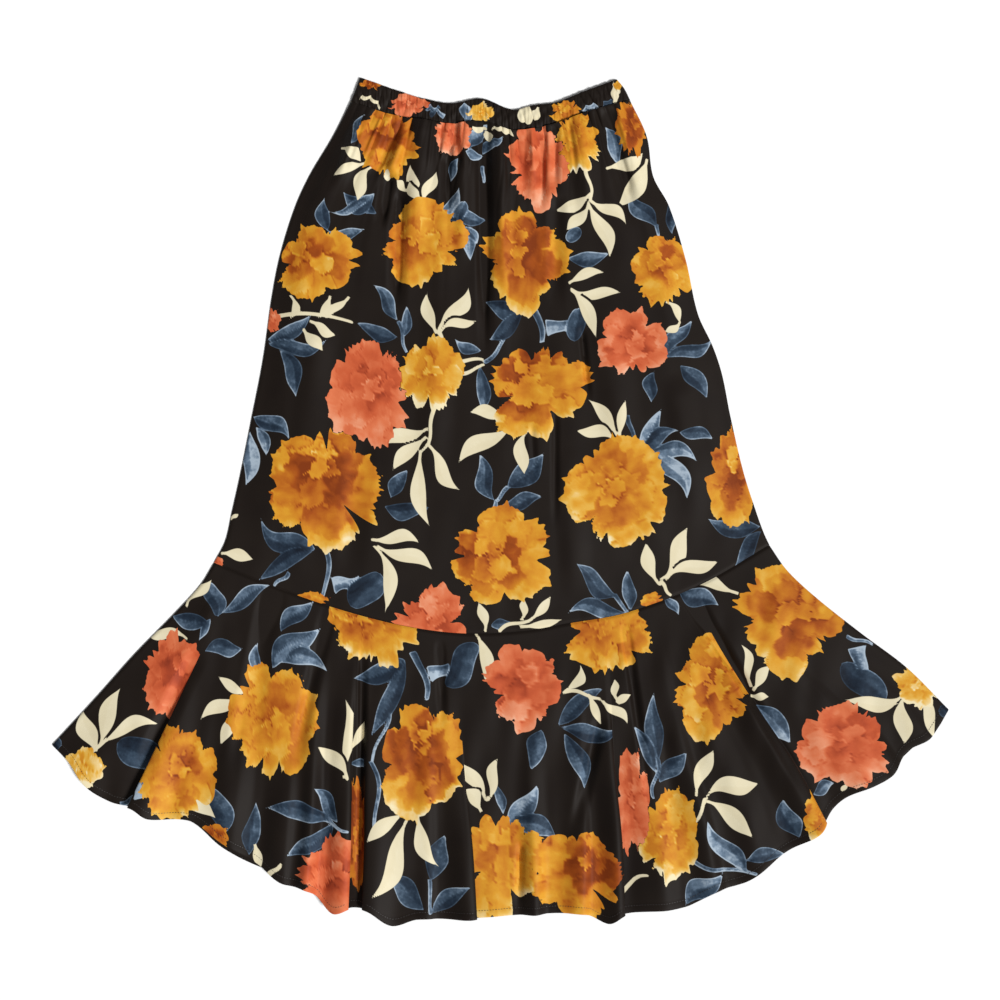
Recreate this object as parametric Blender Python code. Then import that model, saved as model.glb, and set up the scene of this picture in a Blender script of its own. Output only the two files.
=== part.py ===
"""Pull-on flounce skirt, laid flat with its front up: an elastic waistband with gathers,
an A-line body and a flared flounce. X is to the right, Y towards the waist, Z up.
The outline and fold tables are in millimetres, and everything is built in metres."""

import math
import random
from collections import namedtuple

import bmesh
import bpy
import numpy as np

# Driving sizes, in metres
MM = 0.001
CLOTH_WALL = 1.2 * MM
BAND_WALL = 1.8 * MM
SEAM_GAP = 0.3 * MM
BACK_INSET = 1.5 * MM
FRONT_UNDERSIDE = CLOTH_WALL + SEAM_GAP

# Middle of the tables' box, which becomes the origin, in mm
MIDDLE_X = 0.5
MIDDLE_Y = -1.4

# Gathers of the elastic waist, and how far they run down into the body
GATHERS = 32
GATHER_RISE = 1.3 * MM
GATHER_LEAST = 0.55
GATHER_SCALLOP = 0.8 * MM
GATHER_LENGTH = 34.0 * MM
GATHER_SEED = 11
BAND_EDGE_RISE = 0.55

# Grid of each piece, as columns by rows
COLUMNS_PER_GATHER = 4
BODY_COLUMNS_PER_GATHER = 2
BAND_ROWS = 3
GATHERED_ROWS = 5
GATHERED_SHARE = 0.13
BODY_ROWS = 15
BACK_COLUMNS = 22
BACK_ROWS = 14
FLOUNCE_ROWS = 11
FLOUNCE_BACK_COLUMNS = 46
FLOUNCE_BACK_ROWS = 8
WAVE_STEP = 13.0 * MM

# Soft rise of the front over the back, away from the side folds and the seams
SIDE_SHARE = 0.08
BODY_PUFF = 3.0 * MM
BODY_PUFF_AT_WAIST = 0.35
BODY_PUFF_START = 45.0 * MM
BODY_PUFF_END = 0.25
FLOUNCE_PUFF = 1.5 * MM
FLOUNCE_PUFF_START = 0.33
FLOUNCE_PUFF_LOSS = 0.4

# Shares of a crease's length over which it comes up and dies out
CREASE_BEFORE = 0.12
CREASE_IN = 0.2
CREASE_PAST = 0.08
CREASE_OUT = 0.5

# A wave is at its full rise just past the hem
WAVE_FULL = 1.05

# Finish of the printed viscose: its near-black ground and its roughness
GROUND = (0.018, 0.012, 0.011)
ROUGHNESS = 0.55

Level = namedtuple("Level", "left_x left_y right_x right_y")
Spot = namedtuple("Spot", "x y")
Fold = namedtuple("Fold", "from_x from_y to_x to_y rise left right")
Wave = namedtuple("Wave", "crest_seam crest_hem rise trough_seam trough_hem trough_rise begins")

# Both ends of lines across the skirt, from the waist down, in mm
BAND_LEVELS = [
    Level(-151, 454, 126, 452),
    Level(-156, 440, 134, 442),
    Level(-161, 428, 140, 430),
]
BODY_LEVELS = [
    Level(-161, 428, 140, 430),
    Level(-180, 391, 158, 391),
    Level(-205, 349, 165, 348),
    Level(-221, 314, 182, 316),
    Level(-237, 262, 200, 258),
    Level(-246, 216, 213, 200),
    Level(-253, 165, 229, 165),
    Level(-258, 135, 239, 135),
    Level(-267, 90, 248, 90),
    Level(-279, 30, 262, 30),
    Level(-289, -15, 276, -14),
    Level(-296, -45, 284, -36),
    Level(-308, -68, 290, -49),
]
FLOUNCE_LEVELS = [
    Level(-308, -68, 290, -49),
    Level(-322, -91, 309, -76),
    Level(-349, -121, 341, -106),
    Level(-393, -166, 389, -144),
    Level(-434, -212, 438, -181),
    Level(-482, -264, 483, -226),
]

# Lines across the front, from left to right, in mm
TOP_EDGE = [
    Spot(-151, 454), Spot(-108, 439), Spot(-82, 431), Spot(-52, 426), Spot(-20, 431),
    Spot(14, 419), Spot(36, 424), Spot(60, 427), Spot(88, 438), Spot(126, 452),
]
WAIST_SEAM = [
    Spot(-161, 428), Spot(-118, 414), Spot(-82, 408), Spot(-52, 404), Spot(-20, 407),
    Spot(14, 397), Spot(55, 403), Spot(95, 417), Spot(140, 430),
]
DROP_SEAM = [
    Spot(-308, -68), Spot(-246, -93), Spot(-183, -115), Spot(-108, -135), Spot(-43, -144),
    Spot(22, -142), Spot(75, -133), Spot(135, -122), Spot(215, -92), Spot(290, -49),
]
HEM = [
    Spot(-482, -264), Spot(-463, -283), Spot(-446, -307), Spot(-420, -324), Spot(-394, -331),
    Spot(-376, -342), Spot(-332, -345), Spot(-300, -367), Spot(-262, -390), Spot(-236, -410),
    Spot(-203, -420), Spot(-180, -443), Spot(-158, -438), Spot(-141, -441), Spot(-116, -457),
    Spot(-88, -450), Spot(-40, -450), Spot(20, -446), Spot(90, -444), Spot(116, -454),
    Spot(134, -445), Spot(198, -437), Spot(232, -420), Spot(266, -409), Spot(306, -378),
    Spot(342, -357), Spot(358, -332), Spot(374, -318), Spot(418, -298), Spot(438, -270),
    Spot(462, -256), Spot(483, -226),
]
BACK_HEM = [
    Spot(-482, -264), Spot(-438, -306), Spot(-392, -328), Spot(-332, -347), Spot(-300, -374),
    Spot(-262, -394), Spot(-205, -413), Spot(-140, -432), Spot(-60, -440), Spot(30, -440),
    Spot(110, -438), Spot(190, -431), Spot(256, -406), Spot(310, -370), Spot(352, -330),
    Spot(418, -290), Spot(462, -250), Spot(483, -226),
]

# Long creases that fall from the waist: a positive rise is a ridge, a negative one a valley
BODY_FOLDS = [
    Fold(-150, 405, -176, 330, 2.0, 12, 16),
    Fold(-112, 405, -136, 345, -2.4, 9, 12),
    Fold(-102, 390, -122, 338, 1.8, 8, 9),
    Fold(-120, 352, -128, 296, -2.6, 10, 12),
    Fold(-109, 330, -112, 195, -2.4, 12, 14),
    Fold(-84, 405, -92, 270, 2.2, 16, 18),
    Fold(-48, 405, -58, 362, -2.0, 7, 8),
    Fold(-57, 366, -56, 305, -2.2, 10, 12),
    Fold(-38, 404, -40, 250, 1.8, 12, 12),
    Fold(-20, 404, -17, 165, -3.4, 9, 13),
    Fold(0, 396, 4, 220, 2.0, 13, 13),
    Fold(22, 390, 26, 322, -2.2, 8, 10),
    Fold(45, 398, 45, 312, -2.0, 8, 8),
    Fold(58, 398, 58, 330, -1.6, 7, 9),
    Fold(60, 318, 60, 210, -1.6, 12, 14),
    Fold(84, 405, 98, 290, 1.8, 16, 18),
    Fold(114, 414, 140, 300, -1.8, 14, 18),
]

# Waves of the flounce from left to right: where each crest, and the trough to its right,
# meets the drop seam and the hem, its rise in mm, and how far down the flounce it begins
WAVES = [
    Wave(-296, -450, 4, -290, -404, 2, 0.35),
    Wave(-284, -388, 11, -268, -335, 3, 0.30),
    Wave(-258, -290, 7, -240, -262, 2, 0.10),
    Wave(-214, -232, 8, -206, -222, 6, 0.20),
    Wave(-192, -208, 12, -174, -192, 3, 0.12),
    Wave(-158, -170, 10, -151, -157, 1, 0.08),
    Wave(-140, -138, 10, -92, -92, 5, 0.08),
    Wave(-76, -78, 6, -66, -62, 3, 0.12),
    Wave(-52, -32, 11, -42, -22, 2, 0.30),
    Wave(-16, -4, 3, 4, 20, 1, 0.45),
    Wave(26, 38, 9, 62, 58, 2, 0.25),
    Wave(88, 88, 9, 96, 104, 4, 0.15),
    Wave(112, 127, 12, 122, 137, 1, 0.06),
    Wave(140, 178, 7, 152, 206, 4, 0.06),
    Wave(164, 232, 9, 174, 252, 3, 0.05),
    Wave(182, 282, 8, 190, 312, 5, 0.15),
    Wave(202, 342, 13, 214, 356, 1, 0.05),
    Wave(232, 395, 8, 246, 415, 6, 0.30),
    Wave(254, 424, 8, 262, 436, 2, 0.55),
    Wave(276, 460, 5, 283, 473, 2, 0.45),
]


def in_metres(spots):
    """Spots of the tables, in mm, as metres from the origin."""
    return (spots - (MIDDLE_X, MIDDLE_Y)) * MM


class Curve:
    """Smooth line through the spots of a table, read by its share of length."""

    STEPS = 24

    def __init__(self, spots):
        given = in_metres(np.array(spots, float))
        ends = [2 * given[0] - given[1]], [2 * given[-1] - given[-2]]
        padded = np.vstack([ends[0], given, ends[1]])
        t = np.linspace(0, 1, self.STEPS, endpoint=False)[:, None]
        pieces = []
        for a, b, c, d in zip(padded, padded[1:], padded[2:], padded[3:]):
            into = (c - a) * self.slope(a, b, c)
            out = (d - b) * self.slope(d, c, b)
            pieces.append(
                (2 * t**3 - 3 * t**2 + 1) * b
                + (t**3 - 2 * t**2 + t) * into
                + (3 * t**2 - 2 * t**3) * c
                + (t**3 - t**2) * out
            )
        self.points = np.vstack([*pieces, given[-1:]])
        lengths = np.linalg.norm(np.diff(self.points, axis=0), axis=1)
        self.walked = np.concatenate([[0], np.cumsum(lengths)])

    @staticmethod
    def slope(before, here, after):
        """Share of the chord from before to after that the run from here to after takes."""
        run = np.linalg.norm(after - here)
        return run / (run + np.linalg.norm(here - before))

    def at(self, share):
        """Points at these shares of the length, from 0 to 1."""
        want = np.asarray(share) * self.walked[-1]
        return np.stack([np.interp(want, self.walked, self.points[:, k]) for k in (0, 1)], -1)

    def share_at_x(self, x):
        """Share of the length at which a line that runs to the right reaches x."""
        return np.interp(x, self.points[:, 0], self.walked / self.walked[-1])


class Patch:
    """Plane shape between an upper and a lower line and two side edges, drawn in at the sides."""

    def __init__(self, upper, lower, levels, inset=0.0):
        self.upper = upper
        self.lower = lower
        self.inset = inset
        self.left = Curve([(row.left_x, row.left_y) for row in levels])
        self.right = Curve([(row.right_x, row.right_y) for row in levels])

    def at(self, upper_share, lower_share, down):
        """Points on the line from one share of the upper line to one of the lower."""
        down_column = np.full((len(upper_share), 1), down)
        middle = (1 - down) * self.upper.at(upper_share) + down * self.lower.at(lower_share)
        across = ((1 - down) * upper_share + down * lower_share)[:, None]
        for side, weight in ((self.left, 1 - across), (self.right, across)):
            straight = (1 - down_column) * side.points[0] + down_column * side.points[-1]
            middle = middle + weight * (side.at(down_column[:, 0]) - straight)
        middle[:, 0] += self.inset * np.sign(0.5 - across[:, 0]) * (1 - edge_share(across[:, 0]))
        return middle


def smooth(value):
    """Ramp from 0 to 1 with level ends."""
    value = np.clip(value, 0, 1)
    return value * value * (3 - 2 * value)


def fold_rise(points, folds):
    """Height that creases give: each is a soft ridge or valley that dies out at its end."""
    total = np.zeros(len(points))
    for fold in folds:
        start = in_metres(np.array([fold.from_x, fold.from_y]))
        run = in_metres(np.array([fold.to_x, fold.to_y])) - start
        length = np.linalg.norm(run)
        along = (points - start) @ run / length**2
        beside = ((points - start) @ np.array([-run[1], run[0]])) / length
        width = np.where(beside > 0, fold.right, fold.left) * MM
        crown = 0.5 + 0.5 * np.cos(np.pi * np.clip(beside / width, -1, 1))
        fade_in = smooth((along + CREASE_BEFORE) / CREASE_IN)
        fade = fade_in * smooth((1 + CREASE_PAST - along) / CREASE_OUT)
        total += fold.rise * MM * crown * fade
    return total


def gather_heights():
    """One height share for each gather, uneven but the same in each run."""
    pick = random.Random(GATHER_SEED)
    return [pick.uniform(GATHER_LEAST, 1.0) for _ in range(GATHERS)]


def gather_wave(share):
    """Height share of the gathers at these shares across the waist, 0 in the creases."""
    heights = np.array(gather_heights())
    phase = np.asarray(share) * GATHERS
    which = np.clip(phase.astype(int), 0, GATHERS - 1)
    return heights[which] * (0.5 - 0.5 * np.cos(2 * np.pi * phase))


def strip_faces(upper, lower):
    """Faces between two rows of points, where a finer row shares out among the coarser cells."""
    cells = min(len(upper), len(lower)) - 1
    per_upper = (len(upper) - 1) // cells
    per_lower = (len(lower) - 1) // cells
    faces = []
    for cell in range(cells):
        above = upper[cell * per_upper : (cell + 1) * per_upper + 1]
        below = lower[cell * per_lower : (cell + 1) * per_lower + 1]
        faces.append([*below, *reversed(above)])
    return faces


def cloth_wall(name, rows, depth):
    """Closed wall whose outer face runs through the rows of points, from the waist down.

    depth(x, y, z) is how far the inner face lies below the outer one.
    """
    bm = bmesh.new()
    grid = [[bm.verts.new(point) for point in row] for row in rows]
    for upper, lower in zip(grid, grid[1:]):
        for corners in strip_faces(upper, lower):
            bm.faces.new(corners)
    bmesh.ops.triangulate(bm, faces=[f for f in bm.faces if len(f.verts) > 4])
    outer = bm.verts[:]
    grown = bmesh.ops.extrude_face_region(bm, geom=bm.faces[:])
    inner = [v for v in grown["geom"] if isinstance(v, bmesh.types.BMVert)]
    assert len(inner) == len(outer)
    for vertex in inner:
        vertex.co.z -= depth(*vertex.co)
    bmesh.ops.recalc_face_normals(bm, faces=bm.faces[:])
    mesh = bpy.data.meshes.new(name)
    bm.to_mesh(mesh)
    bm.free()
    mesh.shade_smooth()
    mesh.set_sharp_from_angle(angle=math.radians(50))
    mesh.materials.append(cloth_material(name + "_cloth"))
    piece = bpy.data.objects.new(name, mesh)
    bpy.context.collection.objects.link(piece)
    return piece


def cloth_material(name):
    """Principled material of the cloth."""
    material = bpy.data.materials.new(name)
    material.use_nodes = True
    shader = material.node_tree.nodes["Principled BSDF"]
    shader.inputs["Base Color"].default_value = (*GROUND, 1)
    shader.inputs["Roughness"].default_value = ROUGHNESS
    shader.inputs["Metallic"].default_value = 0.0
    return material


def lifted(points, heights):
    """Plane points with a height each."""
    return [(x, y, z) for (x, y), z in zip(points, heights)]


def edge_share(shares):
    """0 at the side folds, 1 well inside, for shares across the panel."""
    return smooth(np.minimum(shares, 1 - shares) / SIDE_SHARE)


def waistband_front(patch, underside):
    """Casing of the elastic, with the gathers raised in its outer face."""
    shares = np.linspace(0, 1, GATHERS * COLUMNS_PER_GATHER + 1)
    wave = gather_wave(shares)
    rows = []
    for row in range(BAND_ROWS + 1):
        down = row / BAND_ROWS
        points = patch.at(shares, shares, down)
        roll = BAND_EDGE_RISE + (1 - BAND_EDGE_RISE) * math.sin(math.pi * down)
        points[:, 1] += GATHER_SCALLOP * wave * (1 - down)
        points[:, 1] += SEAM_GAP / 2 * down
        heights = underside + BAND_WALL + GATHER_RISE * wave * roll
        rows.append(lifted(points, heights))
    return cloth_wall("waistband_front", rows, lambda x, y, z: z - underside)


def body_front(patch, underside):
    """Front panel: gathers under the band, long creases and a soft rise over the back."""
    fine = GATHERS * COLUMNS_PER_GATHER
    wide = GATHERS * BODY_COLUMNS_PER_GATHER
    downs = [GATHERED_SHARE * row / GATHERED_ROWS for row in range(GATHERED_ROWS + 1)]
    rest = BODY_ROWS - GATHERED_ROWS
    downs += [GATHERED_SHARE + (1 - GATHERED_SHARE) * (row + 1) / rest for row in range(rest)]
    rows = []
    for index, down in enumerate(downs):
        coarse = index > GATHERED_ROWS
        shares = np.linspace(0, 1, (wide if coarse else fine) + 1)
        points = patch.at(shares, shares, down)
        fall = patch.at(shares, shares, 0)[:, 1] - points[:, 1]
        gathers = GATHER_RISE * gather_wave(shares) * np.exp(-fall / GATHER_LENGTH)
        fullness = BODY_PUFF_AT_WAIST + (1 - BODY_PUFF_AT_WAIST) * smooth(fall / BODY_PUFF_START)
        seam_fade = smooth((1 - down) / BODY_PUFF_END)
        puff = BODY_PUFF * edge_share(shares) * fullness * seam_fade
        rise = np.maximum(puff + fold_rise(points, BODY_FOLDS) * edge_share(shares), 0)
        points[:, 1] -= SEAM_GAP / 2 * (1 - down)
        points[:, 1] += SEAM_GAP / 2 * down
        rows.append(lifted(points, underside + CLOTH_WALL + gathers + rise))
    return cloth_wall("body_front", rows, lambda x, y, z: CLOTH_WALL)


def between(values, k, share):
    """Value at a share of the way from the one at k to the next."""
    return values[k] + (values[k + 1] - values[k]) * share


def wave_columns(drop_seam, hem):
    """Shares along the seam and the hem of each column, with its rise and its beginning.

    The columns are the crests and troughs of the waves, with evenly spaced ones between.
    """
    seam_x = [DROP_SEAM[0].x]
    hem_x = [HEM[0].x]
    rise = [0.0]
    begins = [WAVES[0].begins]
    for wave in WAVES:
        seam_x += [wave.crest_seam, wave.trough_seam]
        hem_x += [wave.crest_hem, wave.trough_hem]
        rise += [wave.rise, wave.trough_rise]
        begins += [wave.begins, wave.begins]
    seam_x.append(DROP_SEAM[-1].x)
    hem_x.append(HEM[-1].x)
    rise.append(0.0)
    begins.append(WAVES[-1].begins)
    seam_knots = drop_seam.share_at_x((np.array(seam_x) - MIDDLE_X) * MM)
    hem_knots = hem.share_at_x((np.array(hem_x) - MIDDLE_X) * MM)
    columns = []
    for k in range(len(hem_knots) - 1):
        length = (hem_knots[k + 1] - hem_knots[k]) * hem.walked[-1]
        parts = max(2, round(length / WAVE_STEP))
        for part in range(parts):
            share = part / parts
            columns.append((
                between(seam_knots, k, share),
                between(hem_knots, k, share),
                between(rise, k, smooth(share)) * MM,
                between(begins, k, share),
            ))
    columns.append((1.0, 1.0, 0.0, WAVES[-1].begins))
    return [np.array(column) for column in zip(*columns)]


def flounce_front(patch, underside):
    """Front of the flounce, whose waves grow from the drop seam to the hem."""
    seam_share, hem_share, wave_rise, begins = wave_columns(patch.upper, patch.lower)
    rows = []
    for row in range(FLOUNCE_ROWS + 1):
        down = row / FLOUNCE_ROWS
        points = patch.at(seam_share, hem_share, down)
        grown = smooth((down - begins) / (WAVE_FULL - begins))
        fullness = smooth(down / FLOUNCE_PUFF_START) * (1 - FLOUNCE_PUFF_LOSS * down)
        puff = FLOUNCE_PUFF * edge_share(hem_share) * fullness
        points[:, 1] -= SEAM_GAP / 2 * (1 - down)
        rows.append(lifted(points, underside + CLOTH_WALL + puff + wave_rise * grown))
    return cloth_wall("flounce_front", rows, lambda x, y, z: CLOTH_WALL)


def back_piece(name, patch, columns, row_count, seam_above, seam_below):
    """Back panel that lies flat on the surface, with a seam's gap where seam_above or
    seam_below is 1."""
    shares = np.linspace(0, 1, columns + 1)
    rows = []
    for row in range(row_count + 1):
        down = row / row_count
        points = patch.at(shares, shares, down)
        points[:, 1] += -SEAM_GAP / 2 * seam_above * (1 - down) + SEAM_GAP / 2 * seam_below * down
        rows.append(lifted(points, np.full(len(shares), CLOTH_WALL)))
    return cloth_wall(name, rows, lambda x, y, z: z)


def clear_scene():
    """Take away the scene's own objects."""
    for piece in list(bpy.data.objects):
        bpy.data.objects.remove(piece, do_unlink=True)


def build():
    """All six pieces of cloth."""
    top_edge = Curve(TOP_EDGE)
    waist_seam = Curve(WAIST_SEAM)
    drop_seam = Curve(DROP_SEAM)
    band = Patch(top_edge, waist_seam, BAND_LEVELS)
    body = Patch(waist_seam, drop_seam, BODY_LEVELS)
    flounce = Patch(drop_seam, Curve(HEM), FLOUNCE_LEVELS)
    band_under = Patch(top_edge, waist_seam, BAND_LEVELS, BACK_INSET)
    body_under = Patch(waist_seam, drop_seam, BODY_LEVELS, BACK_INSET)
    flounce_under = Patch(drop_seam, Curve(BACK_HEM), FLOUNCE_LEVELS, BACK_INSET)

    back_piece("waistband_back", band_under, BACK_COLUMNS, BAND_ROWS, 0, 1)
    back_piece("body_back", body_under, BACK_COLUMNS, BACK_ROWS, 1, 1)
    back_piece("flounce_back", flounce_under, FLOUNCE_BACK_COLUMNS, FLOUNCE_BACK_ROWS, 1, 0)
    waistband_front(band, FRONT_UNDERSIDE)
    body_front(body, FRONT_UNDERSIDE)
    flounce_front(flounce, FRONT_UNDERSIDE)


clear_scene()
build()
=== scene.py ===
"""Looks of a pull-on flounce skirt in a floral printed viscose crepe, laid flat with its front up.

X is to the right, Y towards the waist and Z up. The tables of lines, creases and waves are in
millimetres and those of the motifs in pixels of the photograph. Everything is built in metres.
"""

import logging
import math
from dataclasses import dataclass, field
from enum import Enum
from typing import Any, NamedTuple

import bpy
import numpy as np
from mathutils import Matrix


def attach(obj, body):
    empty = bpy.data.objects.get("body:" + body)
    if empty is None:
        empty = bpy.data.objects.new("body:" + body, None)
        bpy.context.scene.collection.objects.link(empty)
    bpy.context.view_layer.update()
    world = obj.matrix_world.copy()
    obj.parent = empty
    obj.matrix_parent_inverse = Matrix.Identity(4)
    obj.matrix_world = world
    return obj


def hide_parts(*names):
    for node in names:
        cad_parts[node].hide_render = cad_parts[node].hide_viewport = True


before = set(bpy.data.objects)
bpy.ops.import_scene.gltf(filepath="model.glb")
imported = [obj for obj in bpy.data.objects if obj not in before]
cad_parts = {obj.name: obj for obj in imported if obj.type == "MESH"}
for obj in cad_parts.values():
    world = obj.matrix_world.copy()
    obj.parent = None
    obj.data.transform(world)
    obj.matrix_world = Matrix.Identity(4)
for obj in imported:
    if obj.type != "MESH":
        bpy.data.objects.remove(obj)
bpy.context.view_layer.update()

log = logging.getLogger("flounce_skirt")

MM = 0.001
# Walls of the solids, and how the panels lie over one another
CLOTH_WALL = 1.2 * MM
BAND_WALL = 1.8 * MM
SEAM_GAP = 0.3 * MM
BACK_INSET = 1.5 * MM
FRONT_UNDERSIDE = CLOTH_WALL + SEAM_GAP
# Thickness of the drawn cloth at the front and the back, and the lowest that either side comes
SHELL = 0.5 * MM
BACK_SHELL = 1.0 * MM
LOWEST_FACE = 0.6 * MM
LOWEST_INSIDE = 0.05 * MM
# How far the cloth sinks at the waist seam and the drop seam, and over what distance
SEAM_SINK = 0.35 * MM
SEAM_REACH = 1.8 * MM
DROP_SINK = 1.0 * MM
DROP_REACH = 2.4 * MM
# Roll at the side folds, the share of the height left there, and where puff and folds die out
SIDE_ROLL = 4.0 * MM
SIDE_LEAST = 0.15
SIDE_FADE = 0.08
# Close columns and rows by an edge, in mm from it, and how much wider the next cell is
CLOSE_EDGE = (0.35, 0.9, 1.8)
NEXT_CELL = 1.9
LEAST_CELLS = 6
# Where a crease fades in and out, as shares of its length
FOLD_LEAD, FOLD_ONSET, FOLD_END, FOLD_FADE = 0.12, 0.2, 1.08, 0.5
# Gathers of the waist, and what they do to the print: how much of it a crease swallows, in mm
GATHERS = 32
GATHER_SEED = 11
CREASE_SHARPNESS = 0.4
PULL_SEED = 17
BACK_PRINT_SEED = 9
PRINT_FALL = 36 * MM
SWALLOWED = 2.6
PULLED = 0.9
# Upper limit of a random phase, about a full turn
TURN = 6.3
SHARP_FROM = math.radians(55)
# Middle of the tables' places, in mm
MIDDLE = np.array([0.5, -1.4])
BODY_NAME = "root"


class Panel(Enum):
    """A cut piece of the skirt, which is printed before it is sewn."""

    BAND = "waistband"
    BODY = "body"
    FLOUNCE = "flounce"


class Ink(Enum):
    """Colour family of a bloom."""

    MUSTARD = 0
    CORAL = 1


class Level(NamedTuple):
    """Both ends of a line across the skirt."""

    left_x: float
    left_y: float
    right_x: float
    right_y: float


class Spot(NamedTuple):
    """Point of a line."""

    x: float
    y: float


class Fold(NamedTuple):
    """Crease from one point to another: a ridge, or a valley where its rise is negative."""

    from_x: float
    from_y: float
    to_x: float
    to_y: float
    rise: float
    left: float
    right: float


class Wave(NamedTuple):
    """Wave of the flounce: where its crest, and the trough to its right, meet seam and hem.

    lap_left and lap_right are how far the cloth folds over itself on either side of the crest,
    and below the share parts_at of the fall no motif shows on both sides of that lap.
    """

    crest_seam: float
    crest_hem: float
    rise: float
    trough_seam: float
    trough_hem: float
    trough_rise: float
    begins: float
    lap_left: float = 0.0
    lap_right: float = 0.0
    parts_at: float = 0.3


class Bloom(NamedTuple):
    """Painted bloom: its middle, half sizes, colour, darker heart and paler foot, and a lift or drop of
    its tone that is partly the print's own and partly painted shade.
    """

    x: float
    y: float
    wide: float
    high: float
    ink: Ink
    heart_x: float
    heart_y: float
    heart: float
    foot: float
    # Lift or drop of the whole tone: partly the print's own, partly painted shade where the bloom lies
    # in shadow
    light: float


class Leaf(NamedTuple):
    """Painted leaf, from its foot to its tip, with a curved midrib."""

    foot_x: float
    foot_y: float
    tip_x: float
    tip_y: float
    width: float
    bend: float
    light: float = 0.0


BAND_LEVELS = [
    Level(-151, 454, 126, 452),
    Level(-156, 440, 134, 442),
    Level(-161, 428, 140, 430),
]
BODY_LEVELS = [
    Level(-161, 428, 140, 430),
    Level(-180, 391, 158, 391),
    Level(-205, 349, 165, 348),
    Level(-221, 314, 182, 316),
    Level(-237, 262, 200, 258),
    Level(-246, 216, 213, 200),
    Level(-253, 165, 229, 165),
    Level(-258, 135, 239, 135),
    Level(-267, 90, 248, 90),
    Level(-279, 30, 262, 30),
    Level(-289, -15, 276, -14),
    Level(-296, -45, 284, -36),
    Level(-308, -68, 290, -49),
]
FLOUNCE_LEVELS = [
    Level(-308, -68, 290, -49),
    Level(-322, -91, 309, -76),
    Level(-349, -121, 341, -106),
    Level(-393, -166, 389, -144),
    Level(-434, -212, 438, -181),
    Level(-482, -264, 483, -226),
]
TOP_EDGE = [
    Spot(-151, 454), Spot(-108, 439), Spot(-82, 431), Spot(-52, 426), Spot(-20, 431),
    Spot(14, 419), Spot(36, 424), Spot(60, 427), Spot(88, 438), Spot(126, 452),
]
WAIST_SEAM = [
    Spot(-161, 428), Spot(-118, 414), Spot(-82, 408), Spot(-52, 404), Spot(-20, 407),
    Spot(14, 397), Spot(55, 403), Spot(95, 417), Spot(140, 430),
]
DROP_SEAM = [
    Spot(-308, -68), Spot(-246, -93), Spot(-183, -115), Spot(-108, -135), Spot(-43, -144),
    Spot(22, -142), Spot(75, -133), Spot(135, -122), Spot(215, -92), Spot(290, -49),
]
HEM = [
    Spot(-482, -264), Spot(-463, -283), Spot(-446, -307), Spot(-420, -324), Spot(-394, -331),
    Spot(-376, -342), Spot(-332, -345), Spot(-300, -367), Spot(-262, -390), Spot(-236, -410),
    Spot(-203, -420), Spot(-180, -443), Spot(-158, -438), Spot(-141, -441), Spot(-116, -457),
    Spot(-88, -450), Spot(-40, -450), Spot(20, -446), Spot(90, -444), Spot(116, -454),
    Spot(134, -445), Spot(198, -437), Spot(232, -420), Spot(266, -409), Spot(306, -378),
    Spot(342, -357), Spot(358, -332), Spot(374, -318), Spot(418, -298), Spot(438, -270),
    Spot(462, -256), Spot(483, -226),
]
BACK_HEM = [
    Spot(-482, -264), Spot(-438, -306), Spot(-392, -328), Spot(-332, -347), Spot(-300, -374),
    Spot(-262, -394), Spot(-205, -413), Spot(-140, -432), Spot(-60, -440), Spot(30, -440),
    Spot(110, -438), Spot(190, -431), Spot(256, -406), Spot(310, -370), Spot(352, -330),
    Spot(418, -290), Spot(462, -250), Spot(483, -226),
]
# Long creases that fall from the waist, as the solids have them
BODY_FOLDS = [
    Fold(-150, 405, -176, 330, 2.0, 12, 16),
    Fold(-112, 405, -136, 345, -2.4, 9, 12),
    Fold(-102, 390, -122, 338, 1.8, 8, 9),
    Fold(-120, 352, -128, 296, -2.6, 10, 12),
    Fold(-109, 330, -112, 195, -2.4, 12, 14),
    Fold(-84, 405, -92, 270, 2.2, 16, 18),
    Fold(-48, 405, -58, 362, -2.0, 7, 8),
    Fold(-57, 366, -56, 305, -2.2, 10, 12),
    Fold(-38, 404, -40, 250, 1.8, 12, 12),
    Fold(-20, 404, -17, 165, -3.4, 9, 13),
    Fold(0, 396, 4, 220, 2.0, 13, 13),
    Fold(22, 390, 26, 322, -2.2, 8, 10),
    Fold(45, 398, 45, 312, -2.0, 8, 8),
    Fold(58, 398, 58, 330, -1.6, 7, 9),
    Fold(60, 318, 60, 210, -1.6, 12, 14),
    Fold(84, 405, 98, 290, 1.8, 16, 18),
    Fold(114, 414, 140, 300, -1.8, 14, 18),
]
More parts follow.
